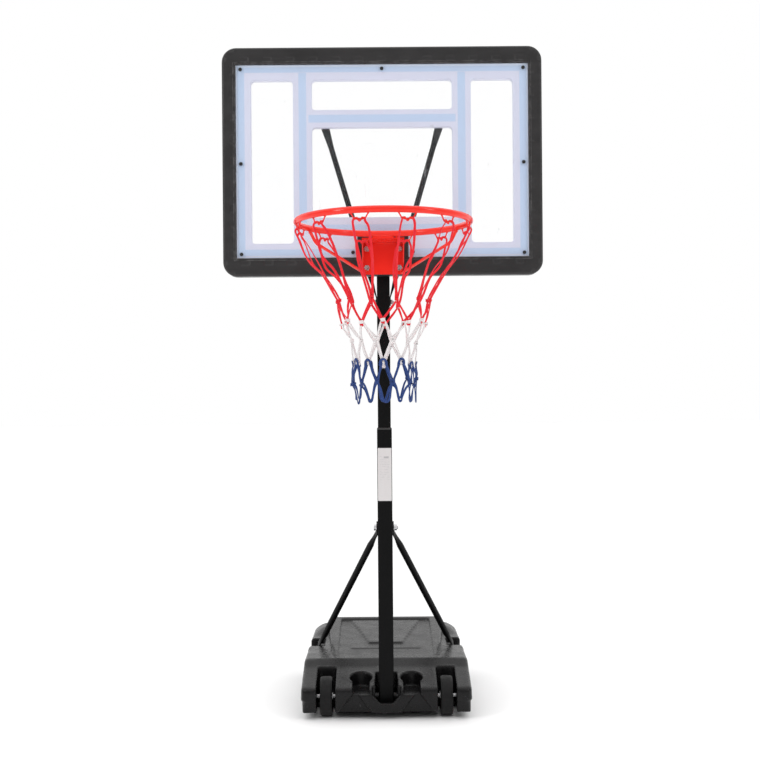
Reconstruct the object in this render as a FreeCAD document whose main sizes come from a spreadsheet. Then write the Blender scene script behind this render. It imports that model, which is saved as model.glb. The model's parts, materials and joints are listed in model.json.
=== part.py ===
import FreeCAD, Part
import math
import os

import Sketcher

# Portable basketball hoop: a hollow ballast base on two wheels, a two-part square pole that
# telescopes, a framed clear backboard and a steel rim with its net.
#
# Sizes are in millimetres. X is the width, the front of the hoop faces -Y and Z is up. The
# floor is z = 0. Each sub-part is drawn about the axis of the pole and then placed pole_y
# behind the middle of the whole object, except wheels and tubes, which are drawn about
# their own axes.

DIMENSIONS = """
pole_y 21                  distance from the middle of the object back to the pole axis
overreach 1                how far shapes reach into or past those they join or cut

tank_half_width 217.5      ballast tank, outer shape
tank_rear_half_width 209
tank_front_y -55
tank_rear_y 485
tank_toe_y -50
tank_toe_z 18
tank_lip_z 40
tank_nose_z 80
tank_step_y 60
tank_step_z 110
tank_deck_y 95
tank_deck_z 126
tank_shoulder_z 133
tank_rest_y 82
tank_rest_ramp 20
tank_rest_rear_y 481
tank_rear_toe_z 4
tank_taper_y 60
tank_clear_z 220
tank_clear_x 240
tank_wall 5
tank_corner_radius 16
tank_edge_radius 9

plateau_front_half_width 138
plateau_mid_half_width 153
plateau_mid_y 250
plateau_rear_half_width 168
plateau_rear_corner_y 462
plateau_rear_chamfer 12
plateau_rear_y 478
plateau_root_z 100
plateau_blank_z 210
plateau_rear_z 168
plateau_edge_radius 7

recess_half_width 129
recess_front_y 108
recess_rear_y 452
recess_depth 6
panel_front_y 236
panel_rear_y 440
panel_front_half_width 46
panel_rear_half_width 98
panel_drop 2
nameplate_half_width 96
nameplate_front_y 136
nameplate_rear_y 197
nameplate_depth 1.5

well_inner_x 130
well_outer_x 178
well_rear_y 60
slot_half_width 28
slot_front_y -40
slot_rear_y 33
slot_floor_z 22
apron_top_z 65
apron_half_width 36
apron_notch_half_width 16
apron_notch_z 43
pocket_x 65
pocket_y 5
pocket_radius 28.5
pocket_floor_z 66
pocket_mouth_half_width 21.5

cavity_half_width 200
cavity_front_y 68
cavity_low_front_z 23
cavity_deck_drop 6
cavity_deck_margin 6
cavity_rear_margin 8
cavity_plateau_half_width 126
cavity_plateau_front_y 116
cavity_plateau_drop 13
cavity_plateau_root 5

foot_x 187                 lower ends of the braces, on the tank
foot_y 290
foot_z 110
foot_notch_x 170
foot_notch_front_y 244
foot_notch_rear_y 336
foot_notch_z 88
foot_block_x 158
foot_block_margin 7
foot_block_root 4
foot_block_overlap 2
foot_hole_depth 5
foot_boss_radius 14

filler_z 95
filler_radius 18
filler_fit 0.08
filler_hole_depth 15
cap_flange_radius 25
cap_flange_thickness 6
cap_stem_length 9
cap_grip_radius 13
cap_grip_half_width 3
cap_grip_height 5
gasket_radius 23
gasket_thickness 1.5

axle_z 50                  wheels and axle
axle_radius 4.75
axle_fit 0.08
axle_half_length 213
axle_recess_radius 14
axle_recess_x 209.5
axle_cap_radius 8
axle_cap_gap 0.3
axle_cap_start_x 210
axle_cap_end_x 216
wheel_x 154
wheel_radius 50
wheel_half_width 15
wheel_rim_radius 41
wheel_rim_inner 37
wheel_web_half_width 5
wheel_hub_radius 15
wheel_hub_draft 1
wheel_window_radius 6.5
wheel_window_at 26.5
wheel_windows 6
wheel_tread_drop 2.5
wheel_tread_half_width 10
washer_radius 10
washer_thickness 1.5
washer_gap 0.4
spacer_radius 8
spacer_gap 0.2

lower_half_width 19        lower pole
lower_wall 1.5
lower_corner 3
lower_bottom_z 36
lower_top_z 734
plug_flange 3
plug_depth 4
plug_wall 2
bushing_gap 0.1
bushing_bore_gap 0.1
bushing_length 46
bushing_lip 5
bushing_lip_chamfer 1.9
label_half_width 17.5
label_bottom_z 552
label_top_z 687
label_thickness 0.3

knob_z 708
knob_hole_radius 4.4
knob_screw_radius 4
knob_screw_gap 0.35
knob_nut_radius 9
knob_nut_thickness 8
knob_nut_bore 4.08
knob_collar_radius 9
knob_collar_length 5
knob_radius 15
knob_lobe_radius 4.5
knob_lobe_at 12.5
knob_lobes 5
knob_thickness 14
knob_stand_off 3

upper_half_width 16.5      upper pole
upper_wall 1.5
upper_corner 2.5
upper_bottom_z 545
upper_top_z 1212
upper_cap_thickness 3
upper_cap_depth 12
upper_cap_wall 2
pole_plate_half_width 52
pole_plate_bottom_z 1131
pole_plate_top_z 1204

bolt_radius 4              M8 and M6 fasteners
bolt_hole_radius 4.4
bolt_head_radius 7.5
bolt_head_thickness 5.3
nut_radius 7.5
nut_thickness 6.5
nut_bore 4.08
bolt_washer_radius 8.5
bolt_washer_thickness 1.6
bolt_washer_bore 4.3
bolt_end 3
insert_radius 9
insert_length 14
insert_gap 0.05
foot_bolt_reach 3
small_bolt_radius 3
small_bolt_hole_radius 3.4
small_bolt_head_radius 6
small_bolt_head_thickness 4
small_nut_bore 3.08
small_nut_thickness 5

brace_bolt_z 482           braces and struts: tubes with flattened ends
brace_radius 8.5
brace_tube_wall 1.2
brace_tab_width 24
brace_tab_thickness 3.2
brace_tab_end 11
brace_tab_reach 17
brace_taper 48
brace_foot_lift 3
drain_radius 2
strut_bolt_z 1062
strut_bolt_y 6
strut_radius 7
strut_tube_wall 1
strut_tab_width 22
strut_tab_thickness 2.6
strut_tab_end 10
strut_tab_reach 12
strut_taper 62
strut_top_x 151
strut_top_z 1526
strut_top_lift 6.2

board_half_width 405       backboard
board_bottom_z 1125
board_top_z 1704
board_front_y -50
board_depth 30
board_corner_radius 36
board_edge_radius 6
board_wall 3.5
board_side_border 34
board_top_border 43
board_bottom_border 46
board_rib_pitch 58
board_rib_thickness 2.5
board_rib_gap 0.5
board_rib_inset 1
board_side_ribs 8
board_top_ribs 13
sheet_gap 0.8
sheet_thickness 3
sheet_sink 3.6
print_thickness 0.3
side_window_outer_x 333
side_window_inner_x 225
window_top_z 1623
window_bottom_z 1207.5
centre_window_half_width 178.5
band_top_z 1545.5
band_bottom_z 1502.5
centre_window_bottom_z 1273
window_corner_radius 10
tab_half_width 64
tab_top_z 1230
tab_boss_radius 10
strut_boss_radius 9
strut_head_sink 4.6
strut_head_gap 0.6
screw_side_x 358
screw_top_z 1649
screw_bottom_z 1181
screw_mid_z 1410
screw_low_x 76
screw_low_z 1184
screw_head_radius 4.6
screw_head_thickness 1.8
screw_radius 2
screw_fit 0.1
screw_length 16
screw_sheet_hole 2.4
screw_boss_radius 5.5

rim_z 1219                 rim, in front of the board
rim_forward 283
rim_radius 198.5
rim_tube_radius 7.5
bracket_thickness 4
bracket_half_width 52.5
bracket_bottom_half_width 47.5
bracket_bottom_z 1127
bracket_flange_thickness 5
bracket_reach 92
bracket_side_reach 70
bracket_tongue_half_width 26
gusset_thickness 3
gusset_bottom_z 1152
gusset_foot 8
rim_bolt_x 41
rim_bolt_low_z 1143.5
rim_bolt_high_z 1191.5
stay_radius 3.75
stay_angle 27
stay_drop 37
stay_inward 20
stay_bend_radius 14
stay_foot_x 46
stay_foot_z 1130.5
hook_count 12
hook_wire_radius 1.6
hook_bend_radius 2
hook_half_width 20
hook_notch_half_width 11
hook_notch_drop 15
hook_peak_half_width 6.5
hook_peak_drop 7.5
hook_middle_drop 19
hook_first_angle 15

net_shell 1                net: thin shells that hold the place of the knotted cord
net_start_drop 54
net_start_radius 174
net_shoulder_drop 83
net_shoulder_radius 160
net_neck_drop 183
net_neck_radius 109
net_white_drop 227
net_white_radius 98
net_blue_drop 320
net_blue_radius 69
net_end_drop 412
net_end_radius 68
net_gap 0.5
"""

ORIGIN = FreeCAD.Vector(0, 0, 0)
X_AXIS = FreeCAD.Vector(1, 0, 0)
Y_AXIS = FreeCAD.Vector(0, 1, 0)
Z_AXIS = FreeCAD.Vector(0, 0, 1)
CORNERS_OF_HEXAGON = 6
FULL_TURN = 360
TOUCHING = 0.01
PARALLEL = 1e-6
FLAT_SIDE_ANGLE = 25

doc = FreeCAD.newDocument("basketball_hoop")
sheet = doc.addObject("Spreadsheet::Sheet", "Dims")
aliases = set()
parts = []


def fill_sheet():
    """Write each driving dimension and its note in a row of the sheet."""
    row = 0
    for line in DIMENSIONS.strip().splitlines():
        words = line.split(None, 2)
        if not words:
            continue
        row += 1
        sheet.set(f"A{row}", words[0])
        sheet.set(f"B{row}", words[1])
        sheet.setAlias(f"B{row}", words[0])
        if len(words) > 2:
            sheet.set(f"C{row}", words[2])
        aliases.add(words[0])
    doc.recompute()


def dims(expression):
    """The expression with every alias in it spelled as a reference to the sheet."""
    words = []
    word = ""
    for letter in f"{expression} ":
        if letter.isalnum() or letter in "_.":
            word += letter
            continue
        words.append(f"Dims.{word}" if word in aliases else word)
        words.append(letter)
        word = ""
    return "".join(words).strip()


def value(expression):
    """The number that an expression in the sheet's aliases gives."""
    return float(sheet.evalExpression(dims(expression)))


def bind(thing, **properties):
    """Bind properties to expressions; a double underscore stands for a dot."""
    for name, expression in properties.items():
        thing.setExpression(name.replace("__", "."), dims(expression))


def keep(thing, label, x="0", y="pole_y", z="0"):
    """Name a finished sub-part and place it."""
    thing.Label = label
    bind(thing, Placement__Base__x=x, Placement__Base__y=y, Placement__Base__z=z)
    parts.append(thing)
    return thing


def keep_shape(shape, label):
    """A sub-part whose shape comes straight from Part's own functions."""
    thing = doc.addObject("Part::Feature", label)
    thing.Shape = shape
    return keep(thing, label)


# ---------------------------------------------------------------- PartDesign helpers


def new_body(name):
    return doc.addObject("PartDesign::Body", f"{name}_body")


def new_sketch(body, plane, offset):
    """A sketch on one of the body's origin planes, moved along the plane's normal."""
    sketch = body.newObject("Sketcher::SketchObject", "Sketch")
    support = next(f for f in body.Origin.OriginFeatures if f.Role == plane)
    sketch.AttachmentSupport = [(support, "")]
    sketch.MapMode = "FlatFace"
    bind(sketch, AttachmentOffset__Base__z=offset)
    return sketch


def fix_point(sketch, geometry, position, across, up):
    """Hold one point of a sketch at two expressions, measured from the origin."""
    for kind, expression in (("DistanceX", across), ("DistanceY", up)):
        index = sketch.addConstraint(
            Sketcher.Constraint(kind, -1, 1, geometry, position, value(expression))
        )
        sketch.setExpression(f"Constraints[{index}]", dims(expression))


def draw_polygon(sketch, corners):
    places = [FreeCAD.Vector(value(a), value(b), 0) for a, b in corners]
    count = len(corners)
    first = sketch.GeometryCount
    for i in range(count):
        sketch.addGeometry(Part.LineSegment(places[i], places[(i + 1) % count]), False)
    for i in range(count):
        after = first + (i + 1) % count
        sketch.addConstraint(Sketcher.Constraint("Coincident", first + i, 2, after, 1))
        fix_point(sketch, first + i, 1, *corners[i])


def draw_circle(sketch, across, up, radius):
    centre = FreeCAD.Vector(value(across), value(up), 0)
    circle = sketch.addGeometry(Part.Circle(centre, Z_AXIS, value(radius)), False)
    fix_point(sketch, circle, 3, across, up)
    index = sketch.addConstraint(Sketcher.Constraint("Radius", circle, value(radius)))
    sketch.setExpression(f"Constraints[{index}]", dims(radius))


def extrude(body, plane, start, end, draw, cut=False):
    """Pad or pocket what draw(sketch) draws, between two places along the plane's axis."""
    offset = f"-({end})" if plane == "XZ_Plane" else start
    sketch = new_sketch(body, plane, offset)
    draw(sketch)
    before = body.Shape.Volume if body.Tip else 0
    feature = body.newObject("PartDesign::Pocket" if cut else "PartDesign::Pad", "Extrusion")
    feature.Profile = sketch
    feature.Reversed = cut
    bind(feature, Length=f"({end}) - ({start})")
    doc.recompute()
    if cut and body.Shape.Volume >= before:
        raise RuntimeError(f"{body.Name}: a pocket removed nothing")
    return feature


def add_prism(body, plane, start, end, *outlines):
    return extrude(body, plane, start, end, drawing(outlines))


def cut_prism(body, plane, start, end, *outlines):
    return extrude(body, plane, start, end, drawing(outlines), cut=True)


def drawing(outlines):
    """A function that draws circles, given as (across, up, radius), and polygons."""

    def draw(sketch):
        for outline in outlines:
            if isinstance(outline, tuple):
                draw_circle(sketch, *outline)
            else:
                draw_polygon(sketch, outline)

    return draw


def rectangle(left, right, low, high):
    return [(left, low), (right, low), (right, high), (left, high)]


def mirrored(across, up, radius):
    """Two equal circles, one on each side of the middle."""
    return [(f"-({across})", up, radius), (across, up, radius)]


def round_edges(body, radius, wanted, kind="PartDesign::Fillet"):
    """Fillet or chamfer the edges of the body's tip for which wanted(edge) is true."""
    base = body.Tip
    names = [
        f"Edge{i}" for i, edge in enumerate(base.Shape.Edges, 1) if wanted(edge)
    ]
    if not names:
        raise RuntimeError(f"{body.Name}: no edge to round")
    feature = body.newObject(kind, "Rounding")
    feature.Base = (base, names)
    bind(feature, **{"Size" if kind.endswith("Chamfer") else "Radius": radius})
    doc.recompute()
    return feature


def runs_along(edge, axis):
    """True if a straight edge is parallel to the axis."""
    if not isinstance(edge.Curve, Part.Line):
        return False
    return abs(abs(edge.Curve.Direction.dot(axis)) - 1) < PARALLEL


def leans_along(edge, axis):
    """True if a straight edge is within 45 degrees of the axis."""
    if not isinstance(edge.Curve, Part.Line):
        return False
    return abs(edge.Curve.Direction.dot(axis)) > math.cos(math.radians(45))


def middle(edge):
    return edge.BoundBox.Center


def revolve(body, plane, axis, corners):
    """Revolve a polygon, drawn on an origin plane, about a sketch axis."""
    sketch = new_sketch(body, plane, "0")
    draw_polygon(sketch, corners)
    feature = body.newObject("PartDesign::Revolution", "Revolution")
    feature.Profile = sketch
    feature.ReferenceAxis = (sketch, [axis])
    feature.Angle = FULL_TURN
    doc.recompute()
    return feature


# --------------------------------------------------------------------- Part helpers


def turn_to(axis):
    return FreeCAD.Rotation(Z_AXIS, axis)


def cylinder(radius, start, end, axis, at=("0", "0")):
    """A cylinder along a main axis, from start to end; at gives its other two coordinates."""
    thing = doc.addObject("Part::Cylinder", "Cylinder")
    thing.Placement = FreeCAD.Placement(ORIGIN, turn_to(axis))
    place = list(at)
    place.insert((X_AXIS, Y_AXIS, Z_AXIS).index(axis), start)
    bind(thing, Radius=radius, Height=f"({end}) - ({start})")
    set_base(thing, place)
    return thing


def hexagon(radius, start, end, axis, at=("0", "0")):
    """A hexagonal prism along a main axis, from start to end."""
    thing = doc.addObject("Part::Prism", "Hexagon")
    thing.Polygon = CORNERS_OF_HEXAGON
    thing.Placement = FreeCAD.Placement(ORIGIN, turn_to(axis))
    place = list(at)
    place.insert((X_AXIS, Y_AXIS, Z_AXIS).index(axis), start)
    bind(thing, Circumradius=radius, Height=f"({end}) - ({start})")
    set_base(thing, place)
    return thing


def set_base(thing, place):
    for coordinate, expression in zip("xyz", place):
        thing.setExpression(f"Placement.Base.{coordinate}", dims(expression))


def fuse(*things):
    joined = doc.addObject("Part::MultiFuse", "Fusion")
    joined.Shapes = list(things)
    return joined


def cut(base, tool):
    result = doc.addObject("Part::Cut", "Cut")
    result.Base = base
    result.Tool = tool
    return result


def group(things):
    """Separate solids that share one node."""
    compound = doc.addObject("Part::Compound", "Group")
    compound.Links = things
    return compound


def ring(radius, bore, start, end, axis, at=("0", "0")):
    """A washer, sleeve or spacer."""
    return cut(
        cylinder(radius, start, end, axis, at),
        cylinder(bore, f"({start}) - overreach", f"({end}) + overreach", axis, at),
    )


def nut(radius, bore, start, end, axis, at=("0", "0")):
    return cut(
        hexagon(radius, start, end, axis, at),
        cylinder(bore, f"({start}) - overreach", f"({end}) + overreach", axis, at),
    )


def bolt(head_radius, radius, head_start, seat, end, axis, at=("0", "0")):
    """A hexagon bolt whose head lies between head_start and seat and whose shank ends at end."""
    return fuse(
        hexagon(head_radius, head_start, seat, axis, at),
        cylinder(radius, seat, end, axis, at),
    )


# ------------------------------------------------------------------------ the tank


def deck_height(y, drop="0"):
    """The height of the plateau's sloping top at y, less a drop."""
    rise = "(plateau_rear_z - tank_deck_z) / (tank_rear_y - tank_deck_y)"
    return f"tank_deck_z + ({y} - tank_deck_y) * {rise} - ({drop})"


def below_deck(front, rear, drop):
    """The side view of everything over the plateau's top less a drop, from front to rear."""
    return [
        (front, deck_height(front, drop)),
        (rear, deck_height(rear, drop)),
        (rear, "tank_clear_z"),
        (front, "tank_clear_z"),
    ]


def tank_blank(body):
    """The full-width wedge, its tapering sides and the raised plateau."""
    side_view = [
        ("tank_toe_y", "tank_toe_z"),
        ("tank_rest_y - tank_rest_ramp", "tank_toe_z"),
        ("tank_rest_y", "0"),
        ("tank_rest_rear_y", "0"),
        ("tank_rear_y", "tank_rear_toe_z"),
        ("tank_rear_y", "tank_shoulder_z"),
        ("tank_deck_y", "tank_deck_z"),
        ("tank_step_y", "tank_step_z"),
        ("tank_front_y", "tank_nose_z"),
        ("tank_front_y", "tank_lip_z"),
    ]
    add_prism(body, "YZ_Plane", "-tank_half_width", "tank_half_width", side_view)
    for side in ("", "-"):
        wedge = [
            (f"{side}tank_half_width", "tank_taper_y"),
            (f"{side}tank_clear_x", "tank_taper_y"),
            (f"{side}tank_clear_x", "tank_rear_y + overreach"),
            (f"{side}tank_rear_half_width", "tank_rear_y + overreach"),
        ]
        cut_prism(body, "XY_Plane", "-overreach", "tank_clear_z", wedge)
    half = value("tank_rear_half_width") - TOUCHING
    front = value("tank_front_y") + TOUCHING
    rear = value("tank_rear_y") - TOUCHING
    round_edges(
        body,
        "tank_corner_radius",
        lambda edge: runs_along(edge, Z_AXIS)
        and abs(middle(edge).x) > half
        and not front < middle(edge).y < rear,
    )
    round_edges(
        body,
        "tank_edge_radius",
        lambda edge: leans_along(edge, Y_AXIS)
        and abs(middle(edge).x) > half
        and middle(edge).z > value("tank_nose_z"),
    )
    plan = [
        ("plateau_front_half_width", "tank_deck_y"),
        ("plateau_mid_half_width", "plateau_mid_y"),
        ("plateau_rear_half_width", "plateau_rear_corner_y"),
        ("plateau_rear_half_width - plateau_rear_chamfer", "plateau_rear_y"),
    ]
    other_side = [(f"-({across})", up) for across, up in reversed(plan)]
    add_prism(body, "XY_Plane", "plateau_root_z", "plateau_blank_z", plan + other_side)
    above = below_deck("tank_deck_y - overreach", "tank_rear_y + overreach", "0")
    cut_prism(body, "YZ_Plane", "-tank_clear_x", "tank_clear_x", above)
    deck = value("tank_shoulder_z") + TOUCHING
    round_edges(
        body,
        "plateau_edge_radius",
        lambda edge: isinstance(edge.Curve, Part.Line)
        and not leans_along(edge, Z_AXIS)
        and middle(edge).z > deck
        and abs(middle(edge).x) > value("plateau_front_half_width"),
    )


def tank_top_details(body):
    """The recess in the plateau, the raised panel in it and the shallow blank nameplate."""
    recess = below_deck("recess_front_y", "recess_rear_y", "recess_depth")
    cut_prism(body, "YZ_Plane", "-recess_half_width", "recess_half_width", recess)
    plate = below_deck(
        "nameplate_front_y", "nameplate_rear_y", "recess_depth + nameplate_depth"
    )
    cut_prism(body, "YZ_Plane", "-nameplate_half_width", "nameplate_half_width", plate)
    panel = [
        ("-panel_front_half_width", "panel_front_y"),
        ("panel_front_half_width", "panel_front_y"),
        ("panel_rear_half_width", "panel_rear_y"),
        ("-panel_rear_half_width", "panel_rear_y"),
    ]
    add_prism(body, "XY_Plane", "tank_deck_z", "plateau_blank_z", panel)
    over_panel = below_deck("recess_front_y", "recess_rear_y", "panel_drop")
    cut_prism(body, "YZ_Plane", "-recess_half_width", "recess_half_width", over_panel)


def tank_cavity(body):
    """The space for water or sand, with solid blocks left where the braces are fastened."""
    main = [
        ("cavity_front_y", "cavity_low_front_z"),
        ("tank_rest_y", "tank_wall"),
        ("tank_rear_y - cavity_rear_margin", "tank_wall"),
        ("tank_rear_y - cavity_rear_margin", "tank_shoulder_z - cavity_deck_drop"),
        ("tank_deck_y + cavity_deck_margin", "tank_deck_z - cavity_deck_drop"),
        ("cavity_front_y", "tank_step_z - cavity_deck_drop"),
    ]
    cut_prism(body, "YZ_Plane", "-cavity_half_width", "cavity_half_width", main)
    low = "tank_deck_z - cavity_deck_drop - cavity_plateau_root"
    upper = [
        ("cavity_plateau_front_y", low),
        ("plateau_rear_y - cavity_rear_margin", low),
        (
            "plateau_rear_y - cavity_rear_margin",
            deck_height("plateau_rear_y", "cavity_plateau_drop"),
        ),
        ("cavity_plateau_front_y", f"{low} + overreach"),
    ]
    half = "cavity_plateau_half_width"
    cut_prism(body, "YZ_Plane", f"-{half}", half, upper)
    for left, right in (
        ("foot_block_x", "cavity_half_width + foot_block_overlap"),
        ("-(cavity_half_width + foot_block_overlap)", "-foot_block_x"),
    ):
        block = rectangle(
            left,
            right,
            "foot_notch_front_y - foot_block_margin",
            "foot_notch_rear_y + foot_block_margin",
        )
        top = "tank_deck_z - cavity_deck_drop + foot_block_root"
        add_prism(body, "XY_Plane", "foot_notch_z - foot_block_margin", top, block)


def tank_front(body):
    """Wheel wells, the pole's slot, the notched apron before it and the round pockets."""
    wells = [
        rectangle("well_inner_x", "well_outer_x", "tank_front_y - overreach", "well_rear_y"),
        rectangle("-well_outer_x", "-well_inner_x", "tank_front_y - overreach", "well_rear_y"),
    ]
    cut_prism(body, "XY_Plane", "-overreach", "tank_clear_z", *wells)
    slot = rectangle("-slot_half_width", "slot_half_width", "slot_front_y", "slot_rear_y")
    cut_prism(body, "XY_Plane", "slot_floor_z", "tank_clear_z", slot)
    apron = [
        ("-apron_notch_half_width", "apron_notch_z"),
        ("apron_notch_half_width", "apron_notch_z"),
        ("apron_half_width", "apron_top_z"),
        ("apron_half_width", "tank_clear_z"),
        ("-apron_half_width", "tank_clear_z"),
        ("-apron_half_width", "apron_top_z"),
    ]
    cut_prism(body, "XZ_Plane", "tank_front_y - overreach", "slot_front_y + overreach", apron)
    round_pockets = mirrored("pocket_x", "pocket_y", "pocket_radius")
    cut_prism(body, "XY_Plane", "pocket_floor_z", "tank_clear_z", *round_pockets)
    for sign in ("", "-"):
        mouth = rectangle(
            f"{sign}pocket_x - pocket_mouth_half_width",
            f"{sign}pocket_x + pocket_mouth_half_width",
            "tank_front_y - overreach",
            "pocket_y",
        )
        cut_prism(body, "XY_Plane", "pocket_floor_z", "tank_clear_z", mouth)


def tank_holes(body):
    """The axle's bore, the braces' notches and bosses, and the filler hole."""
    bore = ("0", "axle_z", "axle_radius + axle_fit")
    cut_prism(body, "YZ_Plane", "-tank_clear_x", "tank_clear_x", bore)
    recess = ("0", "axle_z", "axle_recess_radius")
    cut_prism(body, "YZ_Plane", "axle_recess_x", "tank_clear_x", recess)
    cut_prism(body, "YZ_Plane", "-tank_clear_x", "-axle_recess_x", recess)
    boss = ("foot_y", "foot_z", "foot_boss_radius")
    hole = ("foot_y", "foot_z", "insert_radius + insert_gap")
    room = ("foot_y", "foot_z", "bolt_hole_radius")
    inner = "foot_x - insert_length - foot_hole_depth"
    for near, far in (("foot_notch_x", "tank_clear_x"), ("-tank_clear_x", "-foot_notch_x")):
        notch = rectangle(near, far, "foot_notch_front_y", "foot_notch_rear_y")
        cut_prism(body, "XY_Plane", "foot_notch_z", "tank_clear_z", notch)
    add_prism(body, "YZ_Plane", "foot_notch_x - overreach", "foot_x", boss)
    add_prism(body, "YZ_Plane", "-foot_x", "-(foot_notch_x - overreach)", boss)
    cut_prism(body, "YZ_Plane", "foot_x - insert_length", "foot_x", hole)
    cut_prism(body, "YZ_Plane", "-foot_x", "-(foot_x - insert_length)", hole)
    cut_prism(body, "YZ_Plane", inner, "foot_x", room)
    cut_prism(body, "YZ_Plane", "-foot_x", f"-({inner})", room)
    filler = ("0", "filler_z", "filler_radius + filler_fit")
    start = "tank_rear_y - filler_hole_depth"
    cut_prism(body, "XZ_Plane", start, "tank_rear_y + overreach", filler)


def build_tank():
    body = new_body("base_tank")
    tank_blank(body)
    tank_top_details(body)
    tank_cavity(body)
    tank_front(body)
    tank_holes(body)
    keep(body, "base_tank")


def build_filler_cap():
    """The plug of the tank, with a bar grip, and its flat gasket."""
    seat = "tank_rear_y + gasket_thickness"
    top = f"{seat} + cap_flange_thickness"
    body = new_body("filler_cap")
    add_prism(body, "XZ_Plane", seat, top, ("0", "filler_z", "cap_flange_radius"))
    stem = ("0", "filler_z", "filler_radius")
    add_prism(body, "XZ_Plane", "tank_rear_y - cap_stem_length", seat, stem)
    grip = rectangle(
        "-cap_grip_radius",
        "cap_grip_radius",
        "filler_z - cap_grip_half_width",
        "filler_z + cap_grip_half_width",
    )
    add_prism(body, "XZ_Plane", top, f"{top} + cap_grip_height", grip)
    keep(body, "filler_cap")
    gasket = ring(
        "gasket_radius",
        "filler_radius + filler_fit",
        "tank_rear_y",
        seat,
        Y_AXIS,
        ("0", "filler_z"),
    )
    keep(gasket, "cap_gasket")


# ---------------------------------------------------------------- axle and wheels


def build_axle():
    at = ("0", "axle_z")
    keep(cylinder("axle_radius", "-axle_half_length", "axle_half_length", X_AXIS, at), "axle")
    # keep() centres x and z, and the rod starts at one end of the axle.
    bind(parts[-1], Placement__Base__x="-axle_half_length", Placement__Base__z="axle_z")
    bore = "axle_radius + axle_fit"
    caps = []
    for start, end, mouth, floor in (
        (
            "axle_cap_start_x",
            "axle_cap_end_x",
            "axle_cap_start_x - overreach",
            "axle_half_length + axle_cap_gap",
        ),
        (
            "-axle_cap_end_x",
            "-axle_cap_start_x",
            "-axle_half_length - axle_cap_gap",
            "-axle_cap_start_x + overreach",
        ),
    ):
        blank = cylinder("axle_cap_radius", start, end, X_AXIS, at)
        caps.append(cut(blank, cylinder(bore, mouth, floor, X_AXIS, at)))
    keep(group(caps), "axle_caps")
    washers = []
    for side in ("wheel_x", "-wheel_x"):
        for reach in (
            "wheel_half_width + washer_gap",
            "-(wheel_half_width + washer_gap + washer_thickness)",
        ):
            start = f"{side} + {reach}"
            end = f"{start} + washer_thickness"
            washers.append(ring("washer_radius", bore, start, end, X_AXIS, at))
    keep(group(washers), "axle_washers")
    inner = "lower_half_width + spacer_gap"
    outer = "slot_half_width - spacer_gap"
    spacers = [
        ring("spacer_radius", bore, inner, outer, X_AXIS, at),
        ring("spacer_radius", bore, f"-({outer})", f"-({inner})", X_AXIS, at),
    ]
    keep(group(spacers), "pole_spacers")


def build_wheel(label, side):
    """A moulded wheel: crowned tread, thin web with round windows, and a hub."""
    body = new_body(label)
    bore = "axle_radius + axle_fit"
    half_view = [
        ("wheel_half_width", bore),
        ("wheel_half_width", "wheel_hub_radius"),
        ("wheel_web_half_width", "wheel_hub_radius + wheel_hub_draft"),
        ("wheel_web_half_width", "wheel_rim_inner"),
        ("wheel_half_width", "wheel_rim_radius"),
        ("wheel_half_width", "wheel_radius - wheel_tread_drop"),
        ("wheel_tread_half_width", "wheel_radius"),
    ]
    other_half = [(f"-({across})", up) for across, up in reversed(half_view)]
    revolve(body, "XZ_Plane", "H_Axis", half_view + other_half)
    window = ("wheel_window_at", "0", "wheel_window_radius")
    pocket = cut_prism(body, "YZ_Plane", "-wheel_half_width", "wheel_half_width", window)
    pattern = body.newObject("PartDesign::PolarPattern", "Windows")
    pattern.Originals = [pocket]
    axis = next(f for f in body.Origin.OriginFeatures if f.Role == "X_Axis")
    pattern.Axis = (axis, [""])
    pattern.Angle = FULL_TURN
    bind(pattern, Occurrences="wheel_windows")
    body.Tip = pattern
    keep(body, label, x=f"{side}wheel_x", z="axle_z")


# ------------------------------------------------------------------------ the pole


def square_tube(label, half, wall, corner, bottom, top):
    """A square tube with rounded corners, open at both ends."""
    body = new_body(label)
    outline = rectangle(f"-({half})", half, f"-({half})", half)
    add_prism(body, "XY_Plane", bottom, top, outline)
    round_edges(body, corner, lambda edge: runs_along(edge, Z_AXIS))
    inner = f"{half} - {wall}"
    bore = rectangle(f"-({inner})", inner, f"-({inner})", inner)
    cut_prism(body, "XY_Plane", f"{bottom} - overreach", f"{top} + overreach", bore)
    return body


def build_lower_pole():
    body = square_tube(
        "lower_pole",
        "lower_half_width",
        "lower_wall",
        "lower_corner",
        "lower_bottom_z",
        "lower_top_z",
    )
    side_holes = [
        ("0", "axle_z", "axle_radius + axle_fit"),
        ("0", "brace_bolt_z", "bolt_hole_radius"),
    ]
    cut_prism(body, "YZ_Plane", "-tank_clear_x", "tank_clear_x", *side_holes)
    cut_prism(body, "XZ_Plane", "0", "tank_clear_x", ("0", "knob_z", "knob_hole_radius"))
    keep(body, "lower_pole")


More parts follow.
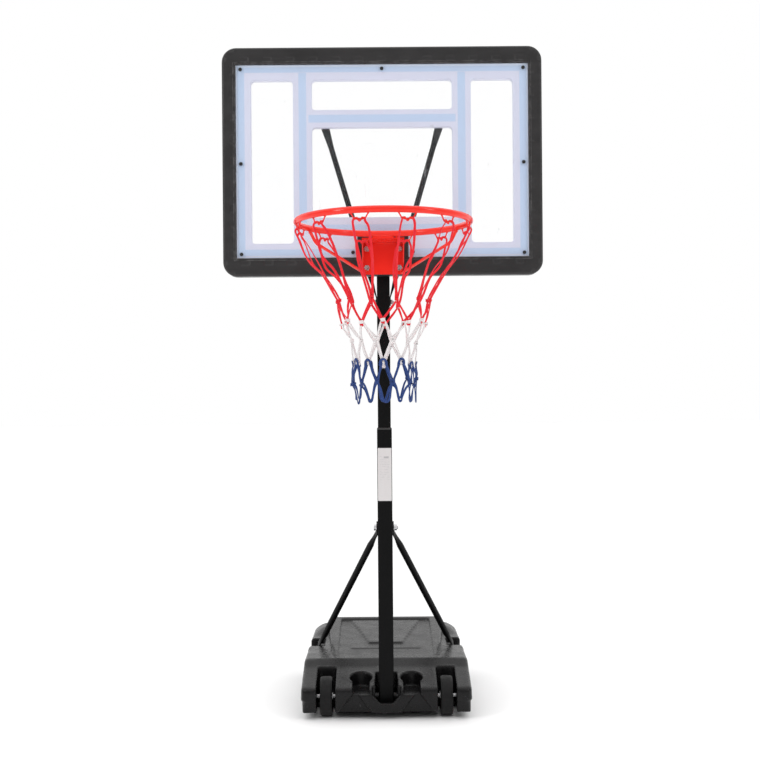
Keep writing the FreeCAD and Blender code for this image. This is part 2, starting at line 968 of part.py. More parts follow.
def build_pole_plastics():
    """The plug in the pole's foot, the sleeve between the tubes and the cap on top."""
    inner = "lower_half_width - lower_wall - bushing_gap"
    hollow = f"{inner} - plug_wall"
    body = new_body("pole_foot_plug")
    flange = rectangle(
        "-lower_half_width", "lower_half_width", "-lower_half_width", "lower_half_width"
    )
    flange_bottom = "lower_bottom_z - plug_flange"
    add_prism(body, "XY_Plane", flange_bottom, "lower_bottom_z", flange)
    round_edges(body, "lower_corner", lambda edge: runs_along(edge, Z_AXIS))
    core = rectangle(f"-({inner})", inner, f"-({inner})", inner)
    space = rectangle(f"-({hollow})", hollow, f"-({hollow})", hollow)
    plug_top = "lower_bottom_z + plug_depth"
    add_prism(body, "XY_Plane", "lower_bottom_z", plug_top, core)
    cut_prism(body, "XY_Plane", "lower_bottom_z", plug_top, space)
    keep(body, "pole_foot_plug")

    body = new_body("pole_bushing")
    bore = "upper_half_width + bushing_bore_gap"
    opening = rectangle(f"-({bore})", bore, f"-({bore})", bore)
    lip_top = "lower_top_z + bushing_lip"
    add_prism(body, "XY_Plane", "lower_top_z", lip_top, flange)
    round_edges(body, "lower_corner", lambda edge: runs_along(edge, Z_AXIS))
    top = value(lip_top)
    round_edges(
        body,
        "bushing_lip_chamfer",
        lambda edge: abs(middle(edge).z - top) < TOUCHING,
        "PartDesign::Chamfer",
    )
    add_prism(body, "XY_Plane", "lower_top_z - bushing_length", "lower_top_z", core)
    start = "lower_top_z - bushing_length - overreach"
    cut_prism(body, "XY_Plane", start, f"{lip_top} + overreach", opening)
    screw = ("0", "knob_z", "knob_hole_radius")
    cut_prism(body, "XZ_Plane", "0", "tank_clear_x", screw)
    keep(body, "pole_bushing")

    inner = "upper_half_width - upper_wall - bushing_gap"
    hollow = f"{inner} - upper_cap_wall"
    half = "upper_half_width"
    body = new_body("pole_top_cap")
    lid = rectangle(f"-{half}", half, f"-{half}", half)
    add_prism(body, "XY_Plane", "upper_top_z", "upper_top_z + upper_cap_thickness", lid)
    round_edges(body, "upper_corner", lambda edge: runs_along(edge, Z_AXIS))
    skirt = rectangle(f"-({inner})", inner, f"-({inner})", inner)
    space = rectangle(f"-({hollow})", hollow, f"-({hollow})", hollow)
    skirt_bottom = "upper_top_z - upper_cap_depth"
    add_prism(body, "XY_Plane", skirt_bottom, "upper_top_z", skirt)
    cut_prism(body, "XY_Plane", skirt_bottom, "upper_top_z", space)
    keep(body, "pole_top_cap")


def build_upper_pole():
    body = square_tube(
        "upper_pole",
        "upper_half_width",
        "upper_wall",
        "upper_corner",
        "upper_bottom_z",
        "upper_top_z",
    )
    hole = ("strut_bolt_y", "strut_bolt_z", "small_bolt_hole_radius")
    cut_prism(body, "YZ_Plane", "-tank_clear_x", "tank_clear_x", hole)
    keep(body, "upper_pole")

    body = new_body("pole_plate")
    plate = rectangle(
        "-pole_plate_half_width",
        "pole_plate_half_width",
        "pole_plate_bottom_z",
        "pole_plate_top_z",
    )
    back = "board_front_y + board_depth"
    add_prism(body, "XZ_Plane", back, "-upper_half_width", plate)
    cut_prism(body, "XZ_Plane", f"{back} - overreach", "0", *rim_bolt_circles("bolt_hole_radius"))
    keep(body, "pole_plate")


def rim_bolt_circles(radius):
    return [
        circle
        for height in ("rim_bolt_low_z", "rim_bolt_high_z")
        for circle in mirrored("rim_bolt_x", height, radius)
    ]


def build_label():
    body = new_body("pole_label")
    outline = rectangle(
        "-label_half_width", "label_half_width", "label_bottom_z", "label_top_z"
    )
    face = "-lower_half_width"
    add_prism(body, "XZ_Plane", f"{face} - label_thickness", face, outline)
    keep(body, "pole_label")


def build_height_knob():
    """The hand screw that clamps the upper tube, and its nut on the back of the pole."""
    at = ("0", "knob_z")
    nut_end = "lower_half_width + knob_nut_thickness"
    keep(
        nut("knob_nut_radius", "knob_nut_bore", "lower_half_width", nut_end, Y_AXIS, at),
        "knob_nut",
    )
    tip = "upper_half_width + knob_screw_gap"
    collar = f"{nut_end} + knob_stand_off"
    face = f"{collar} + knob_collar_length"
    back = f"{face} + knob_thickness"
    body = new_body("height_knob")
    add_prism(body, "XZ_Plane", face, back, ("0", "0", "knob_radius"))
    lobe_round = ("knob_lobe_at", "0", "knob_lobe_radius")
    lobe = add_prism(body, "XZ_Plane", face, back, lobe_round)
    pattern = body.newObject("PartDesign::PolarPattern", "Lobes")
    pattern.Originals = [lobe]
    axis = next(f for f in body.Origin.OriginFeatures if f.Role == "Y_Axis")
    pattern.Axis = (axis, [""])
    pattern.Angle = FULL_TURN
    bind(pattern, Occurrences="knob_lobes")
    body.Tip = pattern
    doc.recompute()
    add_prism(body, "XZ_Plane", collar, face, ("0", "0", "knob_collar_radius"))
    add_prism(body, "XZ_Plane", tip, collar, ("0", "0", "knob_screw_radius"))
    keep(body, "height_knob", z="knob_z")


# --------------------------------------------------------- tubes with flattened ends


def stadium(centre, along, normal, width, thickness):
    """A wire with two straight sides and two round ends, square to along."""
    across = normal.cross(along).normalize()
    side = across * (width - thickness) / 2
    face = normal * thickness / 2
    end = across * thickness / 2
    corners = [centre + side + face, centre - side + face]
    corners += [centre - side - face, centre + side - face]
    return Part.Wire(
        [
            Part.LineSegment(corners[0], corners[1]).toShape(),
            Part.Arc(corners[1], centre - side - end, corners[2]).toShape(),
            Part.LineSegment(corners[2], corners[3]).toShape(),
            Part.Arc(corners[3], centre + side + end, corners[0]).toShape(),
        ]
    )


def round_section(centre, along, normal, radius):
    """A circle in four arcs, whose joints match those of a stadium."""
    across = normal.cross(along).normalize()
    square = along.cross(across).normalize()
    if square.dot(normal) < 0:
        square = -square

    def on_circle(degrees):
        angle = math.radians(degrees)
        return centre + across * radius * math.cos(angle) + square * radius * math.sin(angle)

    half_turn = FULL_TURN / 2
    joints = [
        FLAT_SIDE_ANGLE,
        half_turn - FLAT_SIDE_ANGLE,
        half_turn + FLAT_SIDE_ANGLE,
        FULL_TURN - FLAT_SIDE_ANGLE,
        FULL_TURN + FLAT_SIDE_ANGLE,
    ]
    arcs = []
    for first, last in zip(joints, joints[1:]):
        middle_point = on_circle((first + last) / 2)
        arcs.append(Part.Arc(on_circle(first), middle_point, on_circle(last)).toShape())
    return Part.Wire(arcs)


class FlatEnd:
    """One flattened end of a tube: its bolt's place, its face's normal and its direction."""

    def __init__(self, hole, normal, along, lift):
        self.hole = hole
        self.normal = normal
        self.along = along
        self.lift = normal * lift


def flattened_tube(first, last, kind, hole_radius):
    """A round tube whose two ends are pressed flat and drilled; kind names its sizes."""
    radius = value(f"{kind}_radius")
    wall = value(f"{kind}_tube_wall")
    width = value(f"{kind}_tab_width")
    thickness = value(f"{kind}_tab_thickness")
    tab_end = value(f"{kind}_tab_end")
    reach = value(f"{kind}_tab_reach")
    taper = value(f"{kind}_taper")
    necks = [end.hole + end.along * reach for end in (first, last)]
    run = (necks[1] - necks[0]).normalize()
    tube_ends = [
        necks[0] + run * taper + first.lift,
        necks[1] - run * taper + last.lift,
    ]
    line = tube_ends[1] - tube_ends[0]
    direction = FreeCAD.Vector(line).normalize()
    tube = Part.makeCylinder(radius, line.Length, tube_ends[0], direction)
    for end, neck, tube_end, inward in (
        (first, necks[0], tube_ends[0], direction),
        (last, necks[1], tube_ends[1], -direction),
    ):
        flat = stadium(neck, end.along, end.normal, width, thickness)
        circle = round_section(tube_end, inward, end.normal, radius)
        tube = tube.fuse(Part.makeLoft([flat, circle], True, True))
        tip = end.hole - end.along * tab_end
        outer = stadium(tip, end.along, end.normal, width, thickness)
        tube = tube.fuse(Part.Face(outer).extrude(neck - tip))
        start = end.hole - end.normal * thickness
        hole = Part.makeCylinder(hole_radius, 2 * thickness, start, end.normal)
        tube = tube.cut(hole)
    inside = Part.makeCylinder(radius - wall, line.Length, tube_ends[0], direction)
    drain_at = tube_ends[1] - direction * 2 * radius
    outward = direction.cross(X_AXIS).normalize()
    if outward.y < 0:
        outward = -outward
    drain = Part.makeCylinder(value("drain_radius"), 2 * radius, drain_at, outward)
    return tube.cut(inside.fuse(drain)).removeSplitter()


def build_braces():
    """The two diagonal tubes that hold the pole upright on the tank."""
    half = value("brace_tab_thickness / 2")
    for label, side in (("brace_left", -1), ("brace_right", 1)):
        top = FreeCAD.Vector(
            side * (value("lower_half_width") + half), 0, value("brace_bolt_z")
        )
        foot = FreeCAD.Vector(
            side * (value("foot_x") + half), value("foot_y"), value("foot_z")
        )
        slope = FreeCAD.Vector(0, foot.y - top.y, foot.z - top.z).normalize()
        outward = X_AXIS * side
        first = FlatEnd(top, outward, slope, 0)
        last = FlatEnd(foot, -outward, -slope, value("brace_foot_lift"))
        hole = value("bolt_hole_radius")
        keep_shape(flattened_tube(first, last, "brace", hole), label)


def build_struts():
    """The two tubes from the pole up to the back of the board."""
    half = value("strut_tab_thickness / 2")
    for label, side in (("strut_left", -1), ("strut_right", 1)):
        foot = FreeCAD.Vector(
            side * (value("upper_half_width") + half),
            value("strut_bolt_y"),
            value("strut_bolt_z"),
        )
        top = FreeCAD.Vector(
            side * value("strut_top_x"),
            value("board_front_y + board_depth") + half,
            value("strut_top_z"),
        )
        lean = FreeCAD.Vector(top.x - foot.x, 0, top.z - foot.z).normalize()
        first = FlatEnd(foot, X_AXIS * side, Z_AXIS, 0)
        last = FlatEnd(top, Y_AXIS, -lean, value("strut_top_lift"))
        hole = value("small_bolt_hole_radius")
        keep_shape(flattened_tube(first, last, "strut", hole), label)


def build_brace_fasteners():
    at = ("0", "brace_bolt_z")
    face = "lower_half_width + brace_tab_thickness"
    seat = f"{face} + bolt_washer_thickness"
    nut_end = f"{seat} + nut_thickness"
    head = f"-({seat} + bolt_head_thickness)"
    keep(
        bolt(
            "bolt_head_radius",
            "bolt_radius",
            head,
            f"-({seat})",
            f"{nut_end} + bolt_end",
            X_AXIS,
            at,
        ),
        "brace_pole_bolt",
    )
    keep(nut("nut_radius", "nut_bore", seat, nut_end, X_AXIS, at), "brace_pole_nut")
    washers = [
        ring("bolt_washer_radius", "bolt_washer_bore", face, seat, X_AXIS, at),
        ring("bolt_washer_radius", "bolt_washer_bore", f"-({seat})", f"-({face})", X_AXIS, at),
    ]
    keep(group(washers), "brace_pole_washers")

    at = ("foot_y", "foot_z")
    seat = "foot_x + brace_tab_thickness"
    tip = "foot_x - insert_length - foot_bolt_reach"
    head_end = f"{seat} + bolt_head_thickness"
    right = fuse(
        cylinder("bolt_radius", tip, seat, X_AXIS, at),
        hexagon("bolt_head_radius", seat, head_end, X_AXIS, at),
    )
    left = fuse(
        cylinder("bolt_radius", f"-({seat})", f"-({tip})", X_AXIS, at),
        hexagon("bolt_head_radius", f"-({head_end})", f"-({seat})", X_AXIS, at),
    )
    keep(group([right, left]), "brace_foot_bolts")
    start = "foot_x - insert_length + insert_gap"
    inserts = [
        ring("insert_radius", "nut_bore", start, "foot_x", X_AXIS, at),
        ring("insert_radius", "nut_bore", "-foot_x", f"-({start})", X_AXIS, at),
    ]
    keep(group(inserts), "brace_foot_inserts")


def build_strut_fasteners():
    at = ("strut_bolt_y", "strut_bolt_z")
    seat = "upper_half_width + strut_tab_thickness"
    nut_end = f"{seat} + small_nut_thickness"
    keep(
        bolt(
            "small_bolt_head_radius",
            "small_bolt_radius",
            f"-({seat} + small_bolt_head_thickness)",
            f"-({seat})",
            f"{nut_end} + bolt_end",
            X_AXIS,
            at,
        ),
        "strut_pole_bolt",
    )
    keep(
        nut("small_bolt_head_radius", "small_nut_bore", seat, nut_end, X_AXIS, at),
        "strut_pole_nut",
    )
    floor = "board_front_y + sheet_sink + sheet_thickness + print_thickness"
    head_seat = f"{floor} + strut_head_sink"
    back = "board_front_y + board_depth + strut_tab_thickness"
    bolts = []
    nuts = []
    for x in ("strut_top_x", "-strut_top_x"):
        place = (x, "strut_top_z")
        bolts.append(
            bolt(
                "small_bolt_head_radius",
                "small_bolt_radius",
                f"{head_seat} - small_bolt_head_thickness",
                head_seat,
                f"{back} + small_nut_thickness + bolt_end",
                Y_AXIS,
                place,
            )
        )
        nuts.append(
            nut(
                "small_bolt_head_radius",
                "small_nut_bore",
                back,
                f"{back} + small_nut_thickness",
                Y_AXIS,
                place,
            )
        )
    keep(group(bolts), "strut_board_bolts")
    keep(group(nuts), "strut_board_nuts")


# ------------------------------------------------------------------- the backboard

WINDOWS = [
    ("side_window_inner_x", "side_window_outer_x", "window_bottom_z", "window_top_z"),
    ("-side_window_outer_x", "-side_window_inner_x", "window_bottom_z", "window_top_z"),
    ("-centre_window_half_width", "centre_window_half_width", "band_top_z", "window_top_z"),
    (
        "-centre_window_half_width",
        "centre_window_half_width",
        "centre_window_bottom_z",
        "band_bottom_z",
    ),
]
SHEET = {
    "left": "-board_half_width + board_side_border",
    "right": "board_half_width - board_side_border",
    "low": "board_bottom_z + board_bottom_border",
    "high": "board_top_z - board_top_border",
}
SCREWS = [
    ("-screw_side_x", "screw_top_z"),
    ("0", "screw_top_z"),
    ("screw_side_x", "screw_top_z"),
    ("-screw_side_x", "screw_mid_z"),
    ("screw_side_x", "screw_mid_z"),
    ("-screw_side_x", "screw_bottom_z"),
    ("screw_side_x", "screw_bottom_z"),
    ("-screw_low_x", "screw_low_z"),
    ("screw_low_x", "screw_low_z"),
]


def window_outlines(margin="0"):
    return [
        rectangle(
            f"{left} - {margin}", f"{right} + {margin}", f"{low} - {margin}", f"{high} + {margin}"
        )
        for left, right, low, high in WINDOWS
    ]


def at_window_corner(edge):
    """True if an edge runs from front to back at a corner of a window."""
    if not runs_along(edge, Y_AXIS):
        return False
    at = middle(edge)
    for left, right, low, high in WINDOWS:
        across = min(abs(at.x - value(left)), abs(at.x - value(right)))
        up = min(abs(at.z - value(low)), abs(at.z - value(high)))
        if across < TOUCHING and up < TOUCHING:
            return True
    return False


def notched_sheet(gap):
    """The outline of the clear sheet, with a notch for the frame's middle tab."""
    left = f"{SHEET['left']} + {gap}"
    right = f"{SHEET['right']} - {gap}"
    low = f"{SHEET['low']} + {gap}"
    high = f"{SHEET['high']} - {gap}"
    notch = f"tab_half_width + {gap}"
    top = f"tab_top_z + {gap}"
    return [
        (left, low),
        (f"-({notch})", low),
        (f"-({notch})", top),
        (notch, top),
        (notch, low),
        (right, low),
        (right, high),
        (left, high),
    ]


def build_frame():
    """The black moulded frame: a channel open to the back, ribbed, with four windows."""
    body = new_body("backboard_frame")
    back = "board_front_y + board_depth"
    outline = rectangle(
        "-board_half_width", "board_half_width", "board_bottom_z", "board_top_z"
    )
    add_prism(body, "XZ_Plane", "board_front_y", back, outline)
    round_edges(body, "board_corner_radius", lambda edge: runs_along(edge, Y_AXIS))
    front = value("board_front_y")
    round_edges(
        body,
        "board_edge_radius",
        lambda edge: edge.BoundBox.YMax < front + TOUCHING,
    )
    floor = "board_front_y + sheet_sink + sheet_thickness + print_thickness"
    cut_prism(body, "XZ_Plane", "board_front_y - overreach", floor, notched_sheet("0"))
    past_back = f"{back} + overreach"
    cut_prism(body, "XZ_Plane", "board_front_y - overreach", past_back, *window_outlines())
    round_edges(body, "window_corner_radius", at_window_corner)
    skin = f"{floor} + board_wall"
    channel = rectangle(
        "-board_half_width + board_wall",
        "board_half_width - board_wall",
        "board_bottom_z + board_wall",
        "board_top_z - board_wall",
    )
    islands = window_outlines("board_wall")
    cut_prism(body, "XZ_Plane", skin, past_back, channel, *islands)
    add_frame_ribs(body, skin, back)
    add_prism(body, "XZ_Plane", skin, back, *rim_bolt_circles("tab_boss_radius"))
    strut_bosses = mirrored("strut_top_x", "strut_top_z", "strut_boss_radius")
    add_prism(body, "XZ_Plane", skin, back, *strut_bosses)
    bosses = [(x, z, "screw_boss_radius") for x, z in SCREWS]
    add_prism(body, "XZ_Plane", skin, f"{skin} + screw_length", *bosses)
    through = rim_bolt_circles("bolt_hole_radius")
    through += mirrored("strut_top_x", "strut_top_z", "small_bolt_hole_radius")
    cut_prism(body, "XZ_Plane", "board_front_y - overreach", past_back, *through)
    heads = mirrored("strut_top_x", "strut_top_z", "small_bolt_head_radius + strut_head_gap")
    cut_prism(body, "XZ_Plane", "board_front_y - overreach", f"{floor} + strut_head_sink", *heads)
    pilots = [(x, z, "screw_radius + screw_fit") for x, z in SCREWS]
    cut_prism(body, "XZ_Plane", "board_front_y - overreach", f"{floor} + screw_length", *pilots)
    keep(body, "backboard_frame")


def add_frame_ribs(body, skin, back):
    """Cross ribs in the border channel, at a steady pitch."""
    half = "board_rib_thickness / 2"
    rib_back = f"{back} - board_rib_inset"
    margin = "(board_wall + board_rib_gap)"
    borders = [
        (f"board_top_z - {margin}", f"window_top_z + {margin}"),
        (f"window_bottom_z - {margin}", f"board_bottom_z + {margin}"),
    ]
    count = int(value("board_top_ribs"))
    steps = [i - (count - 1) / 2 for i in range(count)]
    for high, low in borders:
        ribs = []
        for step in steps:
            x = f"{step} * board_rib_pitch"
            ribs.append(rectangle(f"{x} - {half}", f"{x} + {half}", low, high))
        add_prism(body, "XZ_Plane", skin, rib_back, *ribs)
    count = int(value("board_side_ribs"))
    steps = [i - (count - 1) / 2 for i in range(count)]
    middle_z = "(board_top_z + board_bottom_z) / 2"
    outer = f"board_half_width - {margin}"
    inner = f"side_window_outer_x + {margin}"
    for near, far in ((inner, outer), (f"-({outer})", f"-({inner})")):
        ribs = []
        for step in steps:
            z = f"{middle_z} + {step} * board_rib_pitch"
            ribs.append(rectangle(near, far, f"{z} - {half}", f"{z} + {half}"))
        add_prism(body, "XZ_Plane", skin, rib_back, *ribs)


def build_sheet():
    """The clear sheet, the printed film behind it and the nine screws."""
    front = "board_front_y + sheet_sink"
    back = f"{front} + sheet_thickness"
    body = new_body("backboard_sheet")
    add_prism(body, "XZ_Plane", front, back, notched_sheet("sheet_gap"))
    holes = [(x, z, "screw_sheet_hole") for x, z in SCREWS]
    cut_prism(body, "XZ_Plane", f"{front} - overreach", f"{back} + overreach", *holes)
    keep(body, "backboard_sheet")

    film = f"{back} + print_thickness"
    body = new_body("border_print")
    add_prism(body, "XZ_Plane", back, film, notched_sheet("sheet_gap"))
    cut_prism(body, "XZ_Plane", f"{back} - overreach", f"{film} + overreach", *window_outlines())
    round_edges(body, "window_corner_radius", at_window_corner)
    cut_prism(body, "XZ_Plane", f"{back} - overreach", f"{film} + overreach", *holes)
    keep(body, "border_print")

    screws = []
    for place in SCREWS:
        head = cylinder(
            "screw_head_radius", f"{front} - screw_head_thickness", front, Y_AXIS, place
        )
        shank = cylinder("screw_radius", front, f"{front} + screw_length", Y_AXIS, place)
        screws.append(fuse(head, shank))
    keep(group(screws), "sheet_screws")


# -------------------------------------------------------------------------- the rim


def build_rim_ring():
    torus = doc.addObject("Part::Torus", "Ring")
    bind(torus, Radius1="rim_radius", Radius2="rim_tube_radius")
    keep(torus, "rim_ring", y="pole_y + board_front_y - rim_forward", z="rim_z")


def build_rim_bracket():
    """The bent plate that holds the ring: back plate, top flange and two side gussets."""
    body = new_body("rim_bracket")
    top = "rim_z - rim_tube_radius"
    front = "board_front_y - bracket_thickness"
    plate = [
        ("-bracket_bottom_half_width", "bracket_bottom_z"),
        ("bracket_bottom_half_width", "bracket_bottom_z"),
        ("bracket_half_width", "gusset_bottom_z"),
        ("bracket_half_width", top),
        ("-bracket_half_width", top),
        ("-bracket_half_width", "gusset_bottom_z"),
    ]
    add_prism(body, "XZ_Plane", front, "board_front_y", plate)
    reach = "board_front_y - bracket_reach"
    side_reach = "board_front_y - bracket_side_reach"
    flange = [
        ("bracket_half_width", front),
        ("bracket_half_width", side_reach),
        ("bracket_tongue_half_width", side_reach),
        ("bracket_tongue_half_width", reach),
        ("-bracket_tongue_half_width", reach),
        ("-bracket_tongue_half_width", side_reach),
        ("-bracket_half_width", side_reach),
        ("-bracket_half_width", front),
    ]
    add_prism(body, "XY_Plane", f"{top} - bracket_flange_thickness", top, flange)
    gusset = [
        (front, "gusset_bottom_z"),
        (f"{front} - gusset_foot", "gusset_bottom_z"),
        (side_reach, f"{top} - bracket_flange_thickness"),
        (front, f"{top} - bracket_flange_thickness"),
    ]
    for start, end in (
        ("bracket_half_width - gusset_thickness", "bracket_half_width"),
        ("-bracket_half_width", "-bracket_half_width + gusset_thickness"),
    ):
        add_prism(body, "YZ_Plane", start, end, gusset)
    cut_prism(
        body,
        "XZ_Plane",
        f"{front} - overreach",
        "board_front_y + overreach",
        *rim_bolt_circles("bolt_hole_radius"),
    )
    keep(body, "rim_bracket")


def ring_centre():
    return FreeCAD.Vector(0, value("board_front_y - rim_forward"), value("rim_z"))


def rod(points, radius, bend):
    """A round rod along straight runs joined by tangent arcs of the bend radius."""
    edges = []
    start = points[0]
    for before, corner, after in zip(points, points[1:], points[2:]):
        back = (before - corner).normalize()
        onward = (after - corner).normalize()
        half_angle = back.getAngle(onward) / 2
        reach = bend / math.tan(half_angle)
        bisector = (back + onward).normalize()
        centre = corner + bisector * bend / math.sin(half_angle)
        first = corner + back * reach
        last = corner + onward * reach
        edges.append(Part.makeLine(start, first))
        edges.append(Part.Arc(first, centre - bisector * bend, last).toShape())
        start = last
    edges.append(Part.makeLine(start, points[-1]))
    path = Part.Wire(edges)
    direction = points[1] - points[0]
    section = Part.Wire([Part.makeCircle(radius, points[0], direction)])
    return path.makePipeShell([section], True, False)


def ring_solid():
    return Part.makeTorus(
        value("rim_radius"), value("rim_tube_radius"), ring_centre(), Z_AXIS
    )


def build_stays():
    """The two bent rods from under the ring to the lower corners of the bracket."""
    radius = value("stay_radius")
    angle = math.radians(value("stay_angle"))
    front = value("board_front_y - bracket_thickness")
    reach = value("board_half_width")
    corner = FreeCAD.Vector(-reach, front, value("board_bottom_z - overreach"))
    behind_front = Part.makeBox(2 * reach, reach, reach, corner)
    for label, side in (("rim_stay_left", -1), ("rim_stay_right", 1)):
        outward = FreeCAD.Vector(side * math.cos(angle), math.sin(angle), 0)
        top = ring_centre() + outward * value("rim_radius")
        bend = top - outward * value("stay_inward")
        bend.z -= value("stay_drop")
        foot = FreeCAD.Vector(
            side * value("stay_foot_x"), front + radius, value("stay_foot_z")
        )
        shape = rod([top, bend, foot], radius, value("stay_bend_radius"))
        shape = shape.cut(ring_solid()).cut(behind_front)
        keep_shape(max(shape.Solids, key=lambda solid: solid.Volume), label)


def build_net_hooks():
    """Bent wires under the ring; the net's cord lies in the two outer notches of each."""
    reach = value("rim_radius")
    half = value("hook_half_width")
    low = value("rim_z - rim_tube_radius")
    centre = ring_centre()
    edge = centre.y - math.sqrt(reach**2 - half**2)
    front = centre.y - reach
    right_side = [
        (value("hook_peak_half_width"), front, low - value("hook_peak_drop")),
        (value("hook_notch_half_width"), front, low - value("hook_notch_drop")),
        (half, edge, low + value("hook_wire_radius")),
    ]
    left_side = [(-x, y, z) for x, y, z in reversed(right_side)]
    middle_point = (0, front, low - value("hook_middle_drop"))
    points = [FreeCAD.Vector(*p) for p in [*left_side, middle_point, *right_side]]
    wire_radius = value("hook_wire_radius")
    shape = rod(points, wire_radius, value("hook_bend_radius")).cut(ring_solid())
    hook = max(shape.Solids, key=lambda solid: solid.Volume)
    count = int(value("hook_count"))
    hooks = []
    for i in range(count):
        turned = hook.copy()
        angle = value("hook_first_angle") + i * FULL_TURN / count
        turned.rotate(centre, Z_AXIS, angle)
        hooks.append(turned)
    keep_shape(Part.makeCompound(hooks), "net_hooks")


def build_rim_fasteners():
    """Four bolts through bracket, frame and pole plate, with washers and nuts behind."""
    front = "board_front_y - bracket_thickness"
    washer_start = "-upper_half_width"
    seat = f"{washer_start} + bolt_washer_thickness"
    nut_end = f"{seat} + nut_thickness"
    bolts = []
    washers = []
    nuts = []
    for x in ("-rim_bolt_x", "rim_bolt_x"):
        for z in ("rim_bolt_low_z", "rim_bolt_high_z"):
            at = (x, z)
            head = f"{front} - bolt_head_thickness"
            shank_end = f"{nut_end} + bolt_end"
            bolts.append(
                bolt("bolt_head_radius", "bolt_radius", head, front, shank_end, Y_AXIS, at)
            )
            washers.append(
                ring("bolt_washer_radius", "bolt_washer_bore", washer_start, seat, Y_AXIS, at)
            )
            nuts.append(nut("nut_radius", "nut_bore", seat, nut_end, Y_AXIS, at))
    keep(group(bolts), "rim_bolts")
    keep(group(washers), "rim_washers")
    keep(group(nuts), "rim_nuts")


def net_shell(label, stations):
    """A thin shell of revolution through (drop, radius) stations under the ring."""
    body = new_body(label)
    outer = [(radius, f"-({drop})") for drop, radius in stations]
    inner = [(f"{radius} - net_shell", f"-({drop})") for drop, radius in reversed(stations)]
    revolve(body, "XZ_Plane", "V_Axis", outer + inner)
    keep(body, label, y="pole_y + board_front_y - rim_forward", z="rim_z")


def build_net():
    net_shell(
        "net_red",
        [
            ("net_start_drop", "net_start_radius"),
            ("net_shoulder_drop", "net_shoulder_radius"),
            ("net_neck_drop", "net_neck_radius"),
            ("net_white_drop", "net_white_radius"),
        ],
    )
    net_shell(
        "net_white",
        [
            ("net_white_drop + net_gap", "net_white_radius"),
            ("net_blue_drop", "net_blue_radius"),
        ],
    )
    net_shell(
        "net_blue",
        [
            ("net_blue_drop + net_gap", "net_blue_radius"),
            ("net_end_drop", "net_end_radius"),
        ],
    )


# ----------------------------------------------------------------- check and export


def check_document():
    """Stop if any object failed or any sub-part has no valid shape."""
    doc.recompute()
    for thing in doc.Objects:
        if {"Invalid", "Error"} & set(thing.State):
            raise RuntimeError(f"{thing.Name} ({thing.Label}) failed: {thing.State}")
    for part in parts:
        if part.Shape.isNull() or not part.Shape.isValid():
            raise RuntimeError(f"{part.Label} has no valid shape")


def export_parts():
    os.makedirs("parts", exist_ok=True)
    for part in parts:
        part.Shape.exportStep(f"parts/{part.Label}.step")
        box = part.Shape.BoundBox
        print(
            f"{part.Label}: {len(part.Shape.Solids)} solid(s), "
            f"{part.Shape.Volume / 1000:.1f} cm3, "
            f"x {box.XMin:.1f}..{box.XMax:.1f} "
            f"y {box.YMin:.1f}..{box.YMax:.1f} "
            f"z {box.ZMin:.1f}..{box.ZMax:.1f}"
        )


fill_sheet()
build_tank()
build_filler_cap()
build_axle()
build_wheel("wheel_left", "-")
build_wheel("wheel_right", "")
build_lower_pole()
build_pole_plastics()
build_upper_pole()
build_label()
build_height_knob()
build_braces()
build_struts()
build_brace_fasteners()
build_strut_fasteners()
build_frame()
build_sheet()
build_rim_ring()
build_rim_bracket()
build_stays()
build_net_hooks()
build_rim_fasteners()
build_net()
check_document()
export_parts()
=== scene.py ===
import json
import math
import random

import bmesh
import bpy
from mathutils import Matrix, Vector, noise


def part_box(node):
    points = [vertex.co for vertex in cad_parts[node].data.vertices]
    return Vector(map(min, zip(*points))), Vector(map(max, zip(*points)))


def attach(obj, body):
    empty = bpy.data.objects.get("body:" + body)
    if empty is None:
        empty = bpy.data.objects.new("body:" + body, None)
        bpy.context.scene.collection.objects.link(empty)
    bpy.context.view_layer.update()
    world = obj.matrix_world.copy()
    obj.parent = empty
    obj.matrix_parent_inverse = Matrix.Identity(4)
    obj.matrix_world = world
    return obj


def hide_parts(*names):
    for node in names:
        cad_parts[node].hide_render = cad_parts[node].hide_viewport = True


# Portable basketball hoop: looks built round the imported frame. Metres; +Z up, the front faces -Y.

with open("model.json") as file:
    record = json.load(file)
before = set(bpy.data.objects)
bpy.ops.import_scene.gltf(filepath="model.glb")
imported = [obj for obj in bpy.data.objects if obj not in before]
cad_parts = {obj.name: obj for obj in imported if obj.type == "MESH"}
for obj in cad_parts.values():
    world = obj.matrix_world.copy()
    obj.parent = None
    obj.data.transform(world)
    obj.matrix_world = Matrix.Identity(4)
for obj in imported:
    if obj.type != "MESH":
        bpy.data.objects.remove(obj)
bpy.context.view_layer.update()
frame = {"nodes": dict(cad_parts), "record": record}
random.seed(11)

TURN = 2 * math.pi

board_low, board_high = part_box("backboard_frame")
sheet_low, sheet_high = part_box("border_print")
ring_low, ring_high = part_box("rim_ring")

RING_TUBE = (ring_high.z - ring_low.z) / 2
RING_CENTRE = (ring_low + ring_high) / 2
RING_RADIUS = (ring_high.x - ring_low.x) / 2 - RING_TUBE


# ------------------------------------------------------------------------ materials


